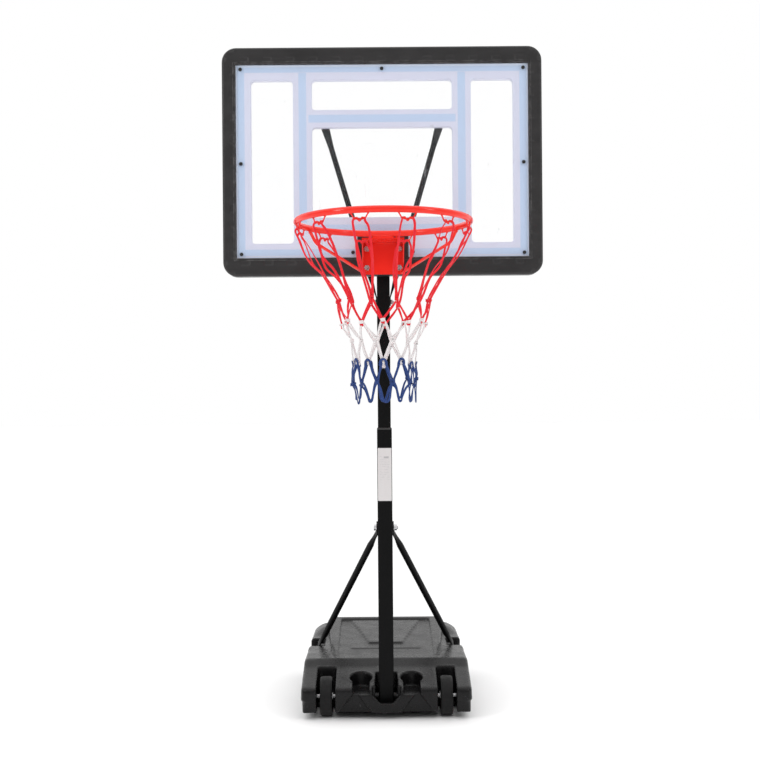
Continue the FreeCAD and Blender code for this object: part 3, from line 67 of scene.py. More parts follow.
class Finish:
    """A Principled material whose inputs are driven by nodes that read object coordinates."""

    def __init__(self, name, colour, roughness, metallic=0.0, specular=0.5, rounding=0.0):
        self.material = bpy.data.materials.new(name)
        self.material.use_nodes = True
        self.nodes = self.material.node_tree.nodes
        self.links = self.material.node_tree.links
        self.shader = self.nodes["Principled BSDF"]
        self.place = self.add("ShaderNodeTexCoord").outputs["Object"]
        self.height = None
        if rounding:
            bevel = self.add("ShaderNodeBevel", samples=4)
            bevel.inputs["Radius"].default_value = rounding
            self.height = bevel.outputs[0]
            self.put("Normal", self.height)
        self.put("Base Color", (*colour, 1.0))
        self.put("Roughness", roughness)
        self.put("Metallic", metallic)
        self.put("Specular IOR Level", specular)

    def add(self, kind, **settings):
        node = self.nodes.new(kind)
        for name, setting in settings.items():
            setattr(node, name, setting)
        return node

    def feed(self, socket, source):
        if isinstance(source, bpy.types.NodeSocket):
            self.links.new(source, socket)
        else:
            socket.default_value = source

    def put(self, name, source):
        self.feed(self.shader.inputs[name], source)

    def scaled(self, stretch):
        """Object coordinates multiplied along each axis."""
        node = self.add("ShaderNodeVectorMath", operation="MULTIPLY")
        self.feed(node.inputs[0], self.place)
        self.feed(node.inputs[1], stretch)
        return node.outputs[0]

    def noise(self, size, detail=3.0, rough=0.55, stretch=None):
        """Noise whose features are about size metres across."""
        node = self.add("ShaderNodeTexNoise")
        self.feed(node.inputs["Vector"], self.scaled(stretch) if stretch else self.place)
        self.feed(node.inputs["Scale"], 1 / size)
        self.feed(node.inputs["Detail"], detail)
        self.feed(node.inputs["Roughness"], rough)
        return node.outputs["Fac"]

    def cells(self, size):
        """Distance from the middles of cells about size metres across."""
        node = self.add("ShaderNodeTexVoronoi", feature="F1")
        self.feed(node.inputs["Vector"], self.place)
        self.feed(node.inputs["Scale"], 1 / size)
        return node.outputs["Distance"]

    def axis(self, letter, source=None):
        node = self.add("ShaderNodeSeparateXYZ")
        self.feed(node.inputs[0], source or self.place)
        return node.outputs["XYZ".index(letter)]

    def math(self, operation, a, b=0.0, clamp=False):
        node = self.add("ShaderNodeMath", operation=operation, use_clamp=clamp)
        self.feed(node.inputs[0], a)
        self.feed(node.inputs[1], b)
        return node.outputs[0]

    def span(self, source, low, high, to_low=0.0, to_high=1.0):
        """source mapped from low..high to to_low..to_high, held at the ends."""
        node = self.add("ShaderNodeMapRange")
        for socket, number in zip(node.inputs, (source, low, high, to_low, to_high)):
            self.feed(socket, number)
        return node.outputs[0]

    def near(self, source, centre, half, soft):
        """1 where source is within half of centre, fading over soft."""
        away = self.math("ABSOLUTE", self.math("SUBTRACT", source, centre))
        return self.span(away, half, half + soft, 1.0, 0.0)

    def mix(self, share, a, b):
        node = self.add("ShaderNodeMix", data_type="RGBA")
        self.feed(node.inputs["Factor"], share)
        for socket, colour in zip((node.inputs[6], node.inputs[7]), (a, b)):
            is_colour = isinstance(colour, tuple) and len(colour) == 3
            self.feed(socket, (*colour, 1.0) if is_colour else colour)
        return node.outputs[2]

    def raise_by(self, height, depth):
        """Adds a height, whose full range is depth metres, to the bump."""
        node = self.add("ShaderNodeBump")
        self.feed(node.inputs["Height"], height)
        self.feed(node.inputs["Distance"], depth)
        self.feed(node.inputs["Strength"], 1.0)
        if self.height is not None:
            self.feed(node.inputs["Normal"], self.height)
        self.height = node.outputs[0]
        self.put("Normal", self.height)

    def edge_mask(self, radius):
        """About 1 on sharp edges and 0 elsewhere, broken up by noise."""
        bevel = self.add("ShaderNodeBevel", samples=4)
        self.feed(bevel.inputs["Radius"], radius)
        geometry = self.add("ShaderNodeNewGeometry")
        dot = self.add("ShaderNodeVectorMath", operation="DOT_PRODUCT")
        self.feed(dot.inputs[0], bevel.outputs[0])
        self.feed(dot.inputs[1], geometry.outputs["Normal"])
        edge = self.span(dot.outputs["Value"], 0.97, 0.80)
        broken = self.span(self.noise(0.012, 5.0, 0.7), 0.42, 0.62)
        return self.math("MULTIPLY", edge, broken)

    def up_facing(self):
        geometry = self.add("ShaderNodeNewGeometry")
        return self.span(self.axis("Z", geometry.outputs["Normal"]), 0.3, 0.95)


def scratches(finish, size, thin):
    """Sparse fine lines, each way, as a mask."""
    marks = None
    for stretch in ((1.0, 0.06, 0.5), (0.07, 1.0, 0.4), (0.5, 0.4, 0.05)):
        lines = finish.span(finish.noise(size, 2.0, 0.5, stretch), thin, thin + 0.02)
        marks = lines if marks is None else finish.math("MAXIMUM", marks, lines)
    return marks


def blow_moulded():
    """The tank's polyethylene: fine grain, soft sheen, scuffs, a little dust on top, and edges
    painted paler, partly as wear and partly as a painted highlight.
    """
    f = Finish("tank_polyethylene", (0.008, 0.0077, 0.008), 0.30, specular=0.22, rounding=0.006)
    base = f.mix(f.noise(0.07, 4.0), (0.0040, 0.0037, 0.0040), (0.0070, 0.0066, 0.0070))
    dust = f.math("MULTIPLY", f.up_facing(), f.span(f.noise(0.04, 5.0, 0.7), 0.38, 0.72))
    base = f.mix(f.math("MULTIPLY", dust, 0.14), base, (0.045, 0.043, 0.044))
    scuff = scratches(f, 0.012, 0.74)
    base = f.mix(f.math("MULTIPLY", scuff, 0.35), base, (0.07, 0.068, 0.07))
    # Paler edges: partly rubbed wear, partly a painted highlight along the tank's edges.
    paler_edges = f.edge_mask(0.004)
    base = f.mix(f.math("MULTIPLY", paler_edges, 0.45), base, (0.075, 0.072, 0.075))
    f.put("Base Color", base)
    f.put("Roughness", f.span(f.noise(0.03, 4.0), 0.3, 0.7, 0.20, 0.33))
    f.raise_by(f.cells(0.0015), 0.00016)
    f.raise_by(f.noise(0.0009, 4.0, 0.7), 0.00014)
    f.raise_by(f.noise(0.05, 2.0), 0.0010)
    return f.material


def frame_plastic(pitch):
    """The board frame: satin plastic with fine grain, shallow sink marks over its ribs, and edges
    painted much paler, partly as wear and partly as a painted highlight.
    """
    f = Finish("board_frame_plastic", (0.02, 0.019, 0.0195), 0.42, specular=0.42, rounding=0.0012)
    base = f.mix(f.noise(0.10, 4.0), (0.0125, 0.0117, 0.0121), (0.0205, 0.0193, 0.0199))
    streak = f.span(f.noise(0.02, 4.0, 0.6, (0.12, 1.0, 1.0)), 0.45, 0.75, 0.0, 0.35)
    base = f.mix(streak, base, (0.036, 0.034, 0.035))
    # Much paler edges: partly wear, partly a painted highlight along the frame's edges.
    paler_edges = f.edge_mask(0.0035)
    base = f.mix(f.math("MULTIPLY", paler_edges, 0.8), base, (0.16, 0.15, 0.152))
    f.put("Base Color", base)
    f.put("Roughness", f.span(f.noise(0.04, 4.0), 0.3, 0.7, 0.34, 0.48))
    middle_z = (board_low.z + board_high.z) / 2
    pitches_below = 40.5
    x, z = f.axis("X"), f.axis("Z")
    sinks = None
    for along, middle, across, edge_at in (
        (x, 0.0, z, sheet_high.z + 0.013),
        (x, 0.0, z, sheet_low.z - 0.013),
        (z, middle_z, x, sheet_high.x + 0.010),
        (z, middle_z, x, -sheet_high.x - 0.010),
    ):
        shifted = f.math("ADD", along, pitches_below * pitch - middle)
        phase = f.math("FRACT", f.math("DIVIDE", shifted, pitch))
        dip = f.near(phase, 0.5, 0.14, 0.09)
        dip = f.math("MULTIPLY", dip, f.near(across, edge_at, 0.0035, 0.004))
        sinks = dip if sinks is None else f.math("MAXIMUM", sinks, dip)
    f.raise_by(sinks, -0.0011)
    f.raise_by(f.cells(0.0011), 0.00012)
    f.raise_by(f.noise(0.0007, 4.0, 0.7), 0.00010)
    return f.material


def moulded(name, colour, roughness, grain):
    """Small hard plastic pieces."""
    f = Finish(name, colour, roughness, rounding=0.0008)
    light = tuple(1.5 * c + 0.003 for c in colour)
    base = f.mix(f.noise(0.03, 4.0), colour, light)
    paler_edges = f.math("MULTIPLY", f.edge_mask(0.0015), 0.5)
    f.put("Base Color", f.mix(paler_edges, base, (0.12, 0.118, 0.118)))
    f.put("Roughness", f.span(f.noise(0.01, 4.0), 0.3, 0.7, roughness - 0.07, roughness + 0.1))
    f.raise_by(f.noise(grain, 4.0, 0.65), 0.00012)
    return f.material


def wheel_plastic():
    """Hard plastic wheels with tread scuffs and dust near the ground."""
    f = Finish("wheel_plastic", (0.008, 0.0077, 0.008), 0.45, specular=0.17, rounding=0.001)
    base = f.mix(f.noise(0.02, 5.0, 0.7), (0.0050, 0.0048, 0.0050), (0.0100, 0.0097, 0.0099))
    low = f.span(f.axis("Z"), 0.035, 0.0, 0.0, 0.35)
    dirt = f.math("MULTIPLY", low, f.span(f.noise(0.008, 5.0, 0.7), 0.4, 0.65))
    base = f.mix(dirt, base, (0.06, 0.056, 0.052))
    marks = f.math("MULTIPLY", f.edge_mask(0.002), 0.6)
    f.put("Base Color", f.mix(marks, base, (0.08, 0.078, 0.076)))
    f.put("Roughness", f.span(f.noise(0.006, 4.0), 0.3, 0.7, 0.42, 0.65))
    f.raise_by(f.noise(0.0012, 4.0, 0.7), 0.00015)
    f.raise_by(f.noise(0.0006, 3.0, 0.6, (1.0, 0.05, 0.05)), 0.00006)
    return f.material


def powder_coat():
    """Black powder coat: fine orange peel, chipped thinly along the edges."""
    f = Finish("black_powder_coat", (0.004, 0.004, 0.0042), 0.46, specular=0.11, rounding=0.0007)
    base = f.mix(f.noise(0.06, 4.0), (0.0020, 0.0020, 0.0021), (0.0034, 0.0034, 0.0036))
    chips = f.span(f.noise(0.004, 5.0, 0.75), 0.66, 0.70)
    chips = f.math("MULTIPLY", chips, f.edge_mask(0.0015))
    f.put("Base Color", f.mix(chips, base, (0.12, 0.115, 0.11)))
    f.put("Roughness", f.span(f.noise(0.02, 3.0), 0.3, 0.7, 0.40, 0.54))
    f.raise_by(f.noise(0.0016, 3.0, 0.6), 0.00016)
    f.raise_by(f.noise(0.0004, 2.0, 0.5), 0.00004)
    return f.material


def red_enamel():
    """Glossy red paint on steel, with a faint orange peel and thin spots on the edges."""
    f = Finish("red_enamel", (0.80, 0.03, 0.016), 0.26, specular=0.24, rounding=0.0009)
    base = f.mix(f.noise(0.05, 4.0), (0.80, 0.020, 0.012), (0.92, 0.034, 0.020))
    chips = f.span(f.noise(0.003, 5.0, 0.75), 0.68, 0.71)
    chips = f.math("MULTIPLY", chips, f.edge_mask(0.0015))
    f.put("Base Color", f.mix(chips, base, (0.20, 0.05, 0.04)))
    f.put("Roughness", f.span(f.noise(0.03, 4.0), 0.3, 0.7, 0.12, 0.19))
    f.put("Coat Weight", 0.10)
    f.put("Coat Roughness", 0.08)
    f.raise_by(f.noise(0.0035, 2.0, 0.5), 0.00012)
    f.raise_by(f.noise(0.0008, 2.0, 0.5), 0.00002)
    return f.material


def plated(name, colour, roughness, stretch=None):
    """Bright plated or drawn metal with a directional brushing."""
    f = Finish(name, colour, roughness, metallic=1.0, rounding=0.0005)
    dark = tuple(0.72 * c for c in colour)
    f.put("Base Color", f.mix(f.span(f.noise(0.006, 5.0, 0.7), 0.3, 0.7), dark, colour))
    f.put("Roughness", f.span(f.noise(0.003, 4.0), 0.3, 0.7, roughness - 0.08, roughness + 0.14))
    f.raise_by(f.noise(0.0006, 4.0, 0.6, stretch), 0.00004)
    return f.material


def clear_sheet():
    """Clear polycarbonate: see-through, with reflections, a painted sheen where it is seen edge-on,
    faint haze and hairline scratches.
    """
    f = Finish("clear_polycarbonate", (0.93, 0.96, 1.0), 0.08)
    f.put("Roughness", f.span(f.noise(0.02, 4.0), 0.3, 0.7, 0.05, 0.16))
    f.raise_by(scratches(f, 0.015, 0.72), 0.00002)
    haze = f.span(f.noise(0.08, 4.0), 0.35, 0.7, 0.006, 0.022)
    marks = f.math("MULTIPLY", scratches(f, 0.012, 0.74), 0.10)
    # Opacity rises towards grazing angles, so the pale base colour shows there as a painted sheen.
    layer = f.add("ShaderNodeLayerWeight")
    f.feed(layer.inputs["Blend"], 0.35)
    shine = f.math("MULTIPLY", layer.outputs["Fresnel"], 0.16)
    f.put("Alpha", f.math("ADD", f.math("ADD", haze, marks), shine, clamp=True))
    return f.material


POWDER_BLUE = (0.500, 0.615, 0.800)
LAVENDER = (0.655, 0.672, 0.800)
PALE_EDGE = (0.64, 0.72, 0.86)


def printed_film():
    """The printed border: pale lavender with powder blue bands and a light outer edge."""
    f = Finish("printed_film", LAVENDER, 0.35)
    soft = 0.0006
    x, z = f.axis("X"), f.axis("Z")
    side_x = sheet_high.x - 0.012
    top_z = sheet_high.z - 0.012
    low_z = sheet_low.z + 0.0135
    band_x, band_half = 0.2015, 0.0093
    band_middle_z, band_reach = 1.45, 0.19
    bar_z, tab_bar_z = 1.524, 1.245
    bar_reach = 0.186
    across = f.math("ABSOLUTE", x)
    bands = [
        f.near(across, side_x, band_half, soft),
        f.near(z, top_z, 0.0065, soft),
        f.near(z, low_z, 0.0075, soft),
        f.math(
            "MULTIPLY",
            f.near(across, band_x, band_half, soft),
            f.near(z, band_middle_z, band_reach, soft),
        ),
        f.math(
            "MULTIPLY",
            f.near(z, bar_z, band_half, soft),
            f.span(across, bar_reach, bar_reach + soft, 1.0, 0.0),
        ),
        f.math(
            "MULTIPLY",
            f.near(z, tab_bar_z, 0.010, soft),
            f.span(across, bar_reach, bar_reach + soft, 1.0, 0.0),
        ),
    ]
    blue = bands[0]
    for band in bands[1:]:
        blue = f.math("MAXIMUM", blue, band)
    dots = f.span(f.noise(0.0012, 2.0), 0.3, 0.7, -0.03, 0.03)
    base = f.mix(f.math("ADD", blue, dots, clamp=True), LAVENDER, POWDER_BLUE)
    edge = f.math(
        "MAXIMUM",
        f.span(across, sheet_high.x - 0.0042, sheet_high.x - 0.0032),
        f.math(
            "MAXIMUM",
            f.span(z, sheet_high.z - 0.0052, sheet_high.z - 0.0042),
            f.span(z, sheet_low.z + 0.0042, sheet_low.z + 0.0032),
        ),
    )
    f.put("Base Color", f.mix(edge, base, PALE_EDGE))
    f.put("Roughness", f.span(f.noise(0.05, 3.0), 0.3, 0.7, 0.28, 0.40))
    f.raise_by(f.noise(0.0009, 2.0), 0.00001)
    return f.material


def label_paper():
    """A blank paper label with a few faint grey rules and a soft crease."""
    f = Finish("label_paper", (0.78, 0.76, 0.76), 0.6)
    low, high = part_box("pole_label")
    x, z = f.axis("X"), f.axis("Z")
    fibre = f.noise(0.0015, 5.0, 0.7)
    base = f.mix(fibre, (0.60, 0.575, 0.575), (0.68, 0.655, 0.655))
    pitch = 0.0042
    row = f.math("FRACT", f.math("DIVIDE", z, pitch))
    rule = f.near(row, 0.5, 0.10, 0.06)
    broken = f.span(f.noise(0.006, 3.0, 0.6, (1.0, 1.0, 6.0)), 0.47, 0.53)
    block = f.near(z, low.z + 0.62 * (high.z - low.z), 0.030, 0.0008)
    inside = f.near(x, 0.0, 0.0125, 0.0006)
    ink = f.math("MULTIPLY", f.math("MULTIPLY", rule, broken), f.math("MULTIPLY", block, inside))
    bar = f.near(z, high.z - 0.024, 0.0022, 0.0004)
    bar = f.math("MULTIPLY", bar, f.near(x, 0.004, 0.006, 0.0004))
    ink = f.math("MAXIMUM", f.math("MULTIPLY", ink, 0.30), f.math("MULTIPLY", bar, 0.45))
    f.put("Base Color", f.mix(ink, base, (0.16, 0.16, 0.18)))
    f.raise_by(fibre, 0.00008)
    f.raise_by(f.noise(0.03, 2.0), 0.0004)
    return f.material


def rubber():
    f = Finish("gasket_rubber", (0.02, 0.02, 0.02), 0.75, specular=0.35)
    f.put("Base Color", f.mix(f.noise(0.01, 4.0), (0.015, 0.015, 0.015), (0.032, 0.031, 0.03)))
    f.raise_by(f.noise(0.0008, 4.0, 0.7), 0.00012)
    return f.material


def cord_fabric(name, colour, deep):
    """Flat braided cord: plaited yarns along the tape, read from its own length and width, with
    painted shade in the grooves between the yarns.
    """
    f = Finish(name, colour, 0.72, specular=0.35)
    along = f.add("ShaderNodeUVMap", uv_map="cord").outputs[0]
    length, width = f.axis("X", along), f.axis("Y", along)
    yarn = 0.0019
    crossings = 4.0
    rise = f.math("DIVIDE", length, yarn)
    ways = []
    for sign in (1.0, -1.0):
        slant = f.math("MULTIPLY", width, crossings * sign)
        phase = f.math("FRACT", f.math("ADD", rise, slant))
        hump = f.math("ABSOLUTE", f.math("SUBTRACT", phase, 0.5))
        ways.append(f.span(hump, 0.5, 0.05))
    across = f.math("MULTIPLY", width, crossings)
    over = f.math("FRACT", f.math("ADD", across, f.math("MULTIPLY", rise, 0.5)))
    plait = f.add("ShaderNodeMix", data_type="FLOAT")
    f.feed(plait.inputs["Factor"], f.span(over, 0.45, 0.55))
    f.feed(plait.inputs[2], ways[0])
    f.feed(plait.inputs[3], ways[1])
    weave = plait.outputs[0]
    fuzz = f.noise(0.0006, 4.0, 0.7)
    # The weave's low places take the darker colour: painted shade in the grooves between the yarns.
    base = f.mix(f.span(weave, 0.0, 0.8), deep, colour)
    lighter = tuple(min(1.0, 1.12 * c + 0.01) for c in colour)
    base = f.mix(f.math("MULTIPLY", f.span(fuzz, 0.45, 0.7), 0.5), base, lighter)
    f.put("Base Color", base)
    f.put("Roughness", f.span(fuzz, 0.3, 0.7, 0.62, 0.82))
    f.put("Sheen Weight", 0.12)
    f.put("Sheen Roughness", 0.4)
    f.raise_by(weave, 0.00035)
    f.raise_by(fuzz, 0.00012)
    return f.material


FRAME_RIB_PITCH = 0.058
finishes = {
    "black_hdpe": blow_moulded(),
    "frame_plastic": frame_plastic(FRAME_RIB_PITCH),
    "hard_plastic": moulded("hard_plastic", (0.016, 0.0158, 0.016), 0.42, 0.0009),
    "wheel_plastic": wheel_plastic(),
    "black_powder": powder_coat(),
    "red_paint": red_enamel(),
    "zinc": plated("bright_zinc", (0.66, 0.66, 0.67), 0.26),
    "steel": plated("drawn_steel", (0.52, 0.52, 0.53), 0.30, (0.02, 1.0, 1.0)),
    "insert_brass": plated("turned_brass", (0.72, 0.52, 0.22), 0.28),
    "clear_sheet": clear_sheet(),
    "blue_print": printed_film(),
    "black_screw": moulded("black_oxide", (0.010, 0.010, 0.011), 0.34, 0.0005),
    "label_paper": label_paper(),
    "gasket_rubber": rubber(),
    # The third colour of each cord is its painted shade for the plait's grooves.
    "cord_red": cord_fabric("red_cord", (0.92, 0.012, 0.026), (0.58, 0.004, 0.012)),
    "cord_white": cord_fabric("white_cord", (0.86, 0.82, 0.82), (0.60, 0.56, 0.56)),
    "cord_blue": cord_fabric("blue_cord", (0.020, 0.060, 0.235), (0.004, 0.014, 0.080)),
}
slots = {row["node"]: row["material_slot"] for row in frame["record"]["subparts"]}


# ------------------------------------------------------------- CAD nodes kept as they are


def flat_faces():
    """A node group that shades every face by its own direction."""
    group = bpy.data.node_groups.new("flat_faces", "GeometryNodeTree")
    for way in ("INPUT", "OUTPUT"):
        group.interface.new_socket("Geometry", in_out=way, socket_type="NodeSocketGeometry")
    source = group.nodes.new("NodeGroupInput")
    shading = group.nodes.new("GeometryNodeSetShadeSmooth")
    shading.inputs["Shade Smooth"].default_value = False
    result = group.nodes.new("NodeGroupOutput")
    group.links.new(source.outputs[0], shading.inputs[0])
    group.links.new(shading.outputs[0], result.inputs[0])
    return group


FLAT_FACES = flat_faces()
FLAT_SLOTS = ("clear_sheet", "label_paper")


def finish_node(name):
    """Gives a CAD node its material, and flat shading where it is a flat sheet."""
    node = frame["nodes"][name]
    for material_slot in node.material_slots:
        material_slot.link = "OBJECT"
        material_slot.material = finishes[slots[name]]
    if slots[name] in FLAT_SLOTS:
        node.modifiers.new("flat_faces", "NODES").node_group = FLAT_FACES


REBUILT = ("base_tank", "border_print", "net_red", "net_white", "net_blue")
for node_name in frame["nodes"]:
    if node_name not in REBUILT:
        finish_node(node_name)


# -------------------------------------------------------------------------- mesh tools


def piece(name, mesh, slot, body, *nodes):
    """Makes a visible piece with the slot's material, on a body and in place of CAD nodes."""
    made = bpy.data.objects.new(name, mesh)
    bpy.context.scene.collection.objects.link(made)
    mesh.materials.clear()
    mesh.materials.append(finishes[slot])
    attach(made, body)
    if nodes:
        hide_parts(*nodes)


def evaluated(mesh, *modifiers):
    """The mesh with modifiers, given as (kind, settings), applied in order."""
    holder = bpy.data.objects.new("holder", mesh)
    bpy.context.scene.collection.objects.link(holder)
    for kind, settings in modifiers:
        modifier = holder.modifiers.new(kind, kind)
        for name, setting in settings.items():
            setattr(modifier, name, setting)
    graph = bpy.context.evaluated_depsgraph_get()
    result = bpy.data.meshes.new_from_object(holder.evaluated_get(graph), depsgraph=graph)
    bpy.data.objects.remove(holder)
    return result


# -------------------------------------------------------------------------- the tank


def ramp(number, start, end):
    """0 before start, 1 past end, a smooth rise between them; end may be the smaller."""
    share = min(1.0, max(0.0, (number - start) / (end - start)))
    return share * share * (3 - 2 * share)


def in_cavity(place):
    """True for a point on the walls of the tank's hollow inside."""
    x, y, z = abs(place.x), place.y, place.z
    half_width, floor = 0.2006, 0.0044
    front, shoulder, rear = 0.0885, 0.122, 0.4986
    if x > half_width or not front < y < rear or z < floor:
        return False
    in_foot_block = x > 0.165 and 0.261 < y < 0.361 and z > 0.084
    if in_foot_block:
        return False
    if y < shoulder:
        roof = 0.104 + 0.485 * (y - 0.089)
    else:
        roof = 0.120 + 0.0187 * (y - shoulder)
    under_plateau = x < 0.1266 and 0.1364 < y < 0.4916
    if under_plateau:
        roof = max(roof, 0.116 + 0.1080 * (y - 0.137))
    margin = 0.0007
    return z < roof + margin


def outer_skin():
    """The tank's CAD skin without its hollow inside, closed where that was cut away."""
    skin = bmesh.new()
    skin.from_mesh(frame["nodes"]["base_tank"].data)
    bmesh.ops.remove_doubles(skin, verts=skin.verts, dist=0.00001)
    inside = [face for face in skin.faces if all(in_cavity(v.co) for v in face.verts)]
    bmesh.ops.delete(skin, geom=inside, context="FACES")
    open_edges = [edge for edge in skin.edges if edge.is_boundary]
    bmesh.ops.holes_fill(skin, edges=open_edges, sides=0)
    mesh = bpy.data.meshes.new("outer_skin")
    skin.to_mesh(mesh)
    skin.free()
    return mesh


def shape_front(x, y, z):
    """How far back the tank's front is set, left and right of the plate at the pole's foot."""
    depth = 0.009
    plate_edge = 0.034 + 0.79 * (z - 0.018)
    wing_edge = 0.117 - 0.84 * (z - 0.028)
    past_plate = ramp(abs(x), plate_edge - 0.001, plate_edge + 0.0025)
    short_of_wing = ramp(abs(x), wing_edge + 0.002, wing_edge - 0.002)
    on_face = ramp(z, 0.067, 0.064) * ramp(y, -0.020, -0.026)
    return depth * past_plate * short_of_wing * on_face


def shape_tank(mesh):
    """Moulded details: the parting step, the set-back front, rims and the rising rear deck."""
    pockets = ((-0.065, 0.026), (0.065, 0.026))
    pocket_rim = 0.0315
    well_inside, well_outside, well_rear = 0.130, 0.178, 0.081
    step = 0.0036
    places = [vertex.co.copy() for vertex in mesh.vertices]
    faces_up = [vertex.normal.z > 0.45 for vertex in mesh.vertices]
    moved = []
    for place, looks_up in zip(places, faces_up):
        x, y, z = place
        side = math.copysign(1, x)
        set_in = step * ramp(z, 0.0505, 0.0460)
        shift = Vector((0, 0, 0))
        shift.x -= side * set_in * ramp(abs(x), 0.192, 0.206)
        shift.y -= set_in * ramp(y, 0.480, 0.496)
        if abs(x) > 0.125:
            shift.y += set_in * ramp(y, -0.012, -0.028)
        shift.y += shape_front(x, y, z)
        if looks_up and z > 0.07:
            for centre_x, centre_y in pockets:
                away = math.hypot(x - centre_x, y - centre_y)
                shift.z += 0.0020 * ramp(abs(away - pocket_rim), 0.0032, 0.0008)
            off_x = max(abs(x) - well_outside, well_inside - abs(x), 0)
            off = math.hypot(off_x, max(y - well_rear, 0))
            shift.z += 0.0016 * ramp(abs(off - 0.0025), 0.0030, 0.0008) * ramp(off, 0.0, 0.0004)
        if 0.150 < abs(x) and z > 0.120:
            lift = ramp(abs(x), 0.215, 0.172) * ramp(y, 0.37, 0.45) * ramp(z, 0.158, 0.142)
            shift.z += 0.016 * lift
        moved.extend(place + shift)
    mesh.vertices.foreach_set("co", moved)
    mesh.update()


def roll_shoulders(mesh):
    """Rolls the front shoulder and the outer edges over, as a blown wall does."""
    skin = bmesh.new()
    skin.from_mesh(mesh)
    passes = 26
    rolled = []
    for vertex in skin.verts:
        x, y, z = vertex.co
        on_front = y < 0.084 and z > 0.080 and abs(x) < 0.125
        near_pole = abs(x) < 0.108 and y < 0.066
        on_flank = abs(x) > 0.183 and z > 0.055 and not 0.235 < y < 0.390
        on_rear = y > 0.470 and z > 0.055
        if (on_front and not near_pole) or on_flank or on_rear:
            rolled.append(vertex)
    for _ in range(passes):
        bmesh.ops.smooth_vert(
            skin, verts=rolled, factor=0.5, use_axis_x=True, use_axis_y=True, use_axis_z=True
        )
    skin.to_mesh(mesh)
    skin.free()


def build_tank():
    """The tank as blow moulding leaves it: soft edges and a parting step all round."""
    voxel = 0.0023
    mesh = evaluated(outer_skin(), ("REMESH", {"mode": "VOXEL", "voxel_size": voxel}))
    roll_shoulders(mesh)
    shape_tank(mesh)
    mesh = evaluated(
        mesh,
        ("SMOOTH", {"factor": 0.5, "iterations": 4}),
        ("DECIMATE", {"ratio": 0.55}),
    )
    for polygon in mesh.polygons:
        polygon.use_smooth = True
    piece("tank_shell", mesh, "black_hdpe", "base", "base_tank")


build_tank()


# ------------------------------------------------------------------- the board's edges


def closed_strip(mesh, outline, profile):
    """A profile, as (outward, forward) places, run round a closed outline of (x, z) corners."""
    count = len(outline)
    rings = []
    for i, corner in enumerate(outline):
        before = Vector(corner) - Vector(outline[i - 1])
        after = Vector(outline[(i + 1) % count]) - Vector(corner)
        first = Vector((before.y, -before.x)).normalized()
        second = Vector((after.y, -after.x)).normalized()
        mitre = (first + second) / (1 + first.dot(second))
        rings.append(
            [
                mesh.verts.new((corner[0] + mitre.x * out, y, corner[1] + mitre.y * out))
                for out, y in profile
            ]
        )
    sides = len(profile)
    for i in range(count):
        near, far = rings[i], rings[(i + 1) % count]
        for k in range(sides):
            following = (k + 1) % sides
            quad = mesh.faces.new((near[k], near[following], far[following], far[k]))
            quad.smooth = True


def rounded_outline(left, right, low, high, radius):
    """A rectangle's outline with rounded corners, run anticlockwise as seen from the front."""
    points = []
    steps = 8
    quarter = math.pi / 2
    for turn, (x, z) in enumerate(
        (
            (right - radius, low + radius),
            (right - radius, high - radius),
            (left + radius, high - radius),
            (left + radius, low + radius),
        )
    ):
        for i in range(steps + 1):
            angle = quarter * (turn - 1 + i / steps)
            points.append((x + radius * math.cos(angle), z + radius * math.sin(angle)))
    return points


TAB_HALF_WIDTH = 0.064
TAB_TOP = 1.230
WINDOWS = (
    (-0.333, -0.225, 1.2075, 1.623),
    (0.225, 0.333, 1.2075, 1.623),
    (-0.1785, 0.1785, 1.5455, 1.623),
    (-0.1785, 0.1785, 1.273, 1.5025),
)
WINDOW_CORNER = 0.010


def build_frame_lip():
    """Two low beads moulded round the sheet's pocket in the frame."""
    lip = bmesh.new()
    low, high = sheet_low, sheet_high
    outline = [
        (low.x, low.z),
        (-TAB_HALF_WIDTH, low.z),
        (-TAB_HALF_WIDTH, TAB_TOP),
        (TAB_HALF_WIDTH, TAB_TOP),
        (TAB_HALF_WIDTH, low.z),
        (high.x, low.z),
        (high.x, high.z),
        (low.x, high.z),
    ]
    front = board_low.y
    for centre, half, proud in ((0.0026, 0.0011, 0.0013), (0.0064, 0.0009, 0.0008)):
        arc = []
        for i in range(7):
            angle = math.pi * i / 6
            arc.append((centre + half * math.cos(angle), front - proud * math.sin(angle)))
        root = [(centre - half, front + 0.0004), (centre + half, front + 0.0004)]
        closed_strip(lip, outline, arc + root)
    mesh = bpy.data.meshes.new("frame_lip")
    bmesh.ops.recalc_face_normals(lip, faces=lip.faces)
    lip.to_mesh(mesh)
    lip.free()
    piece("frame_lip", mesh, "frame_plastic", "upper_assembly")


def build_window_lining():
    """The printed film turned back over the windows' inner walls."""
    lining = bmesh.new()
    front, back = sheet_high.y - 0.0001, board_high.y - 0.0004
    thick = 0.0004
    profile = [(-thick, front), (-0.00002, front), (-0.00002, back), (-thick, back)]
    for left, right, low, high in WINDOWS:
        outline = rounded_outline(left, right, low, high, WINDOW_CORNER)
        closed_strip(lining, outline, profile)
    mesh = bpy.data.meshes.new("window_lining")
    bmesh.ops.recalc_face_normals(lining, faces=lining.faces)
    lining.to_mesh(mesh)
    lining.free()
    piece("window_lining", mesh, "blue_print", "upper_assembly")


def build_film():
    """The printed film, its front drawn a hair behind the clear sheet that it is stuck to."""
    mesh = frame["nodes"]["border_print"].data.copy()
    mesh.name = "printed_border"
    hair = 0.00008
    for vertex in mesh.vertices:
        if vertex.co.y < sheet_low.y + hair:
            vertex.co.y += hair
    for polygon in mesh.polygons:
        polygon.use_smooth = False
    piece("printed_border", mesh, "blue_print", "upper_assembly", "border_print")


build_frame_lip()
build_window_lining()
build_film()


# --------------------------------------------------------------------------- the net

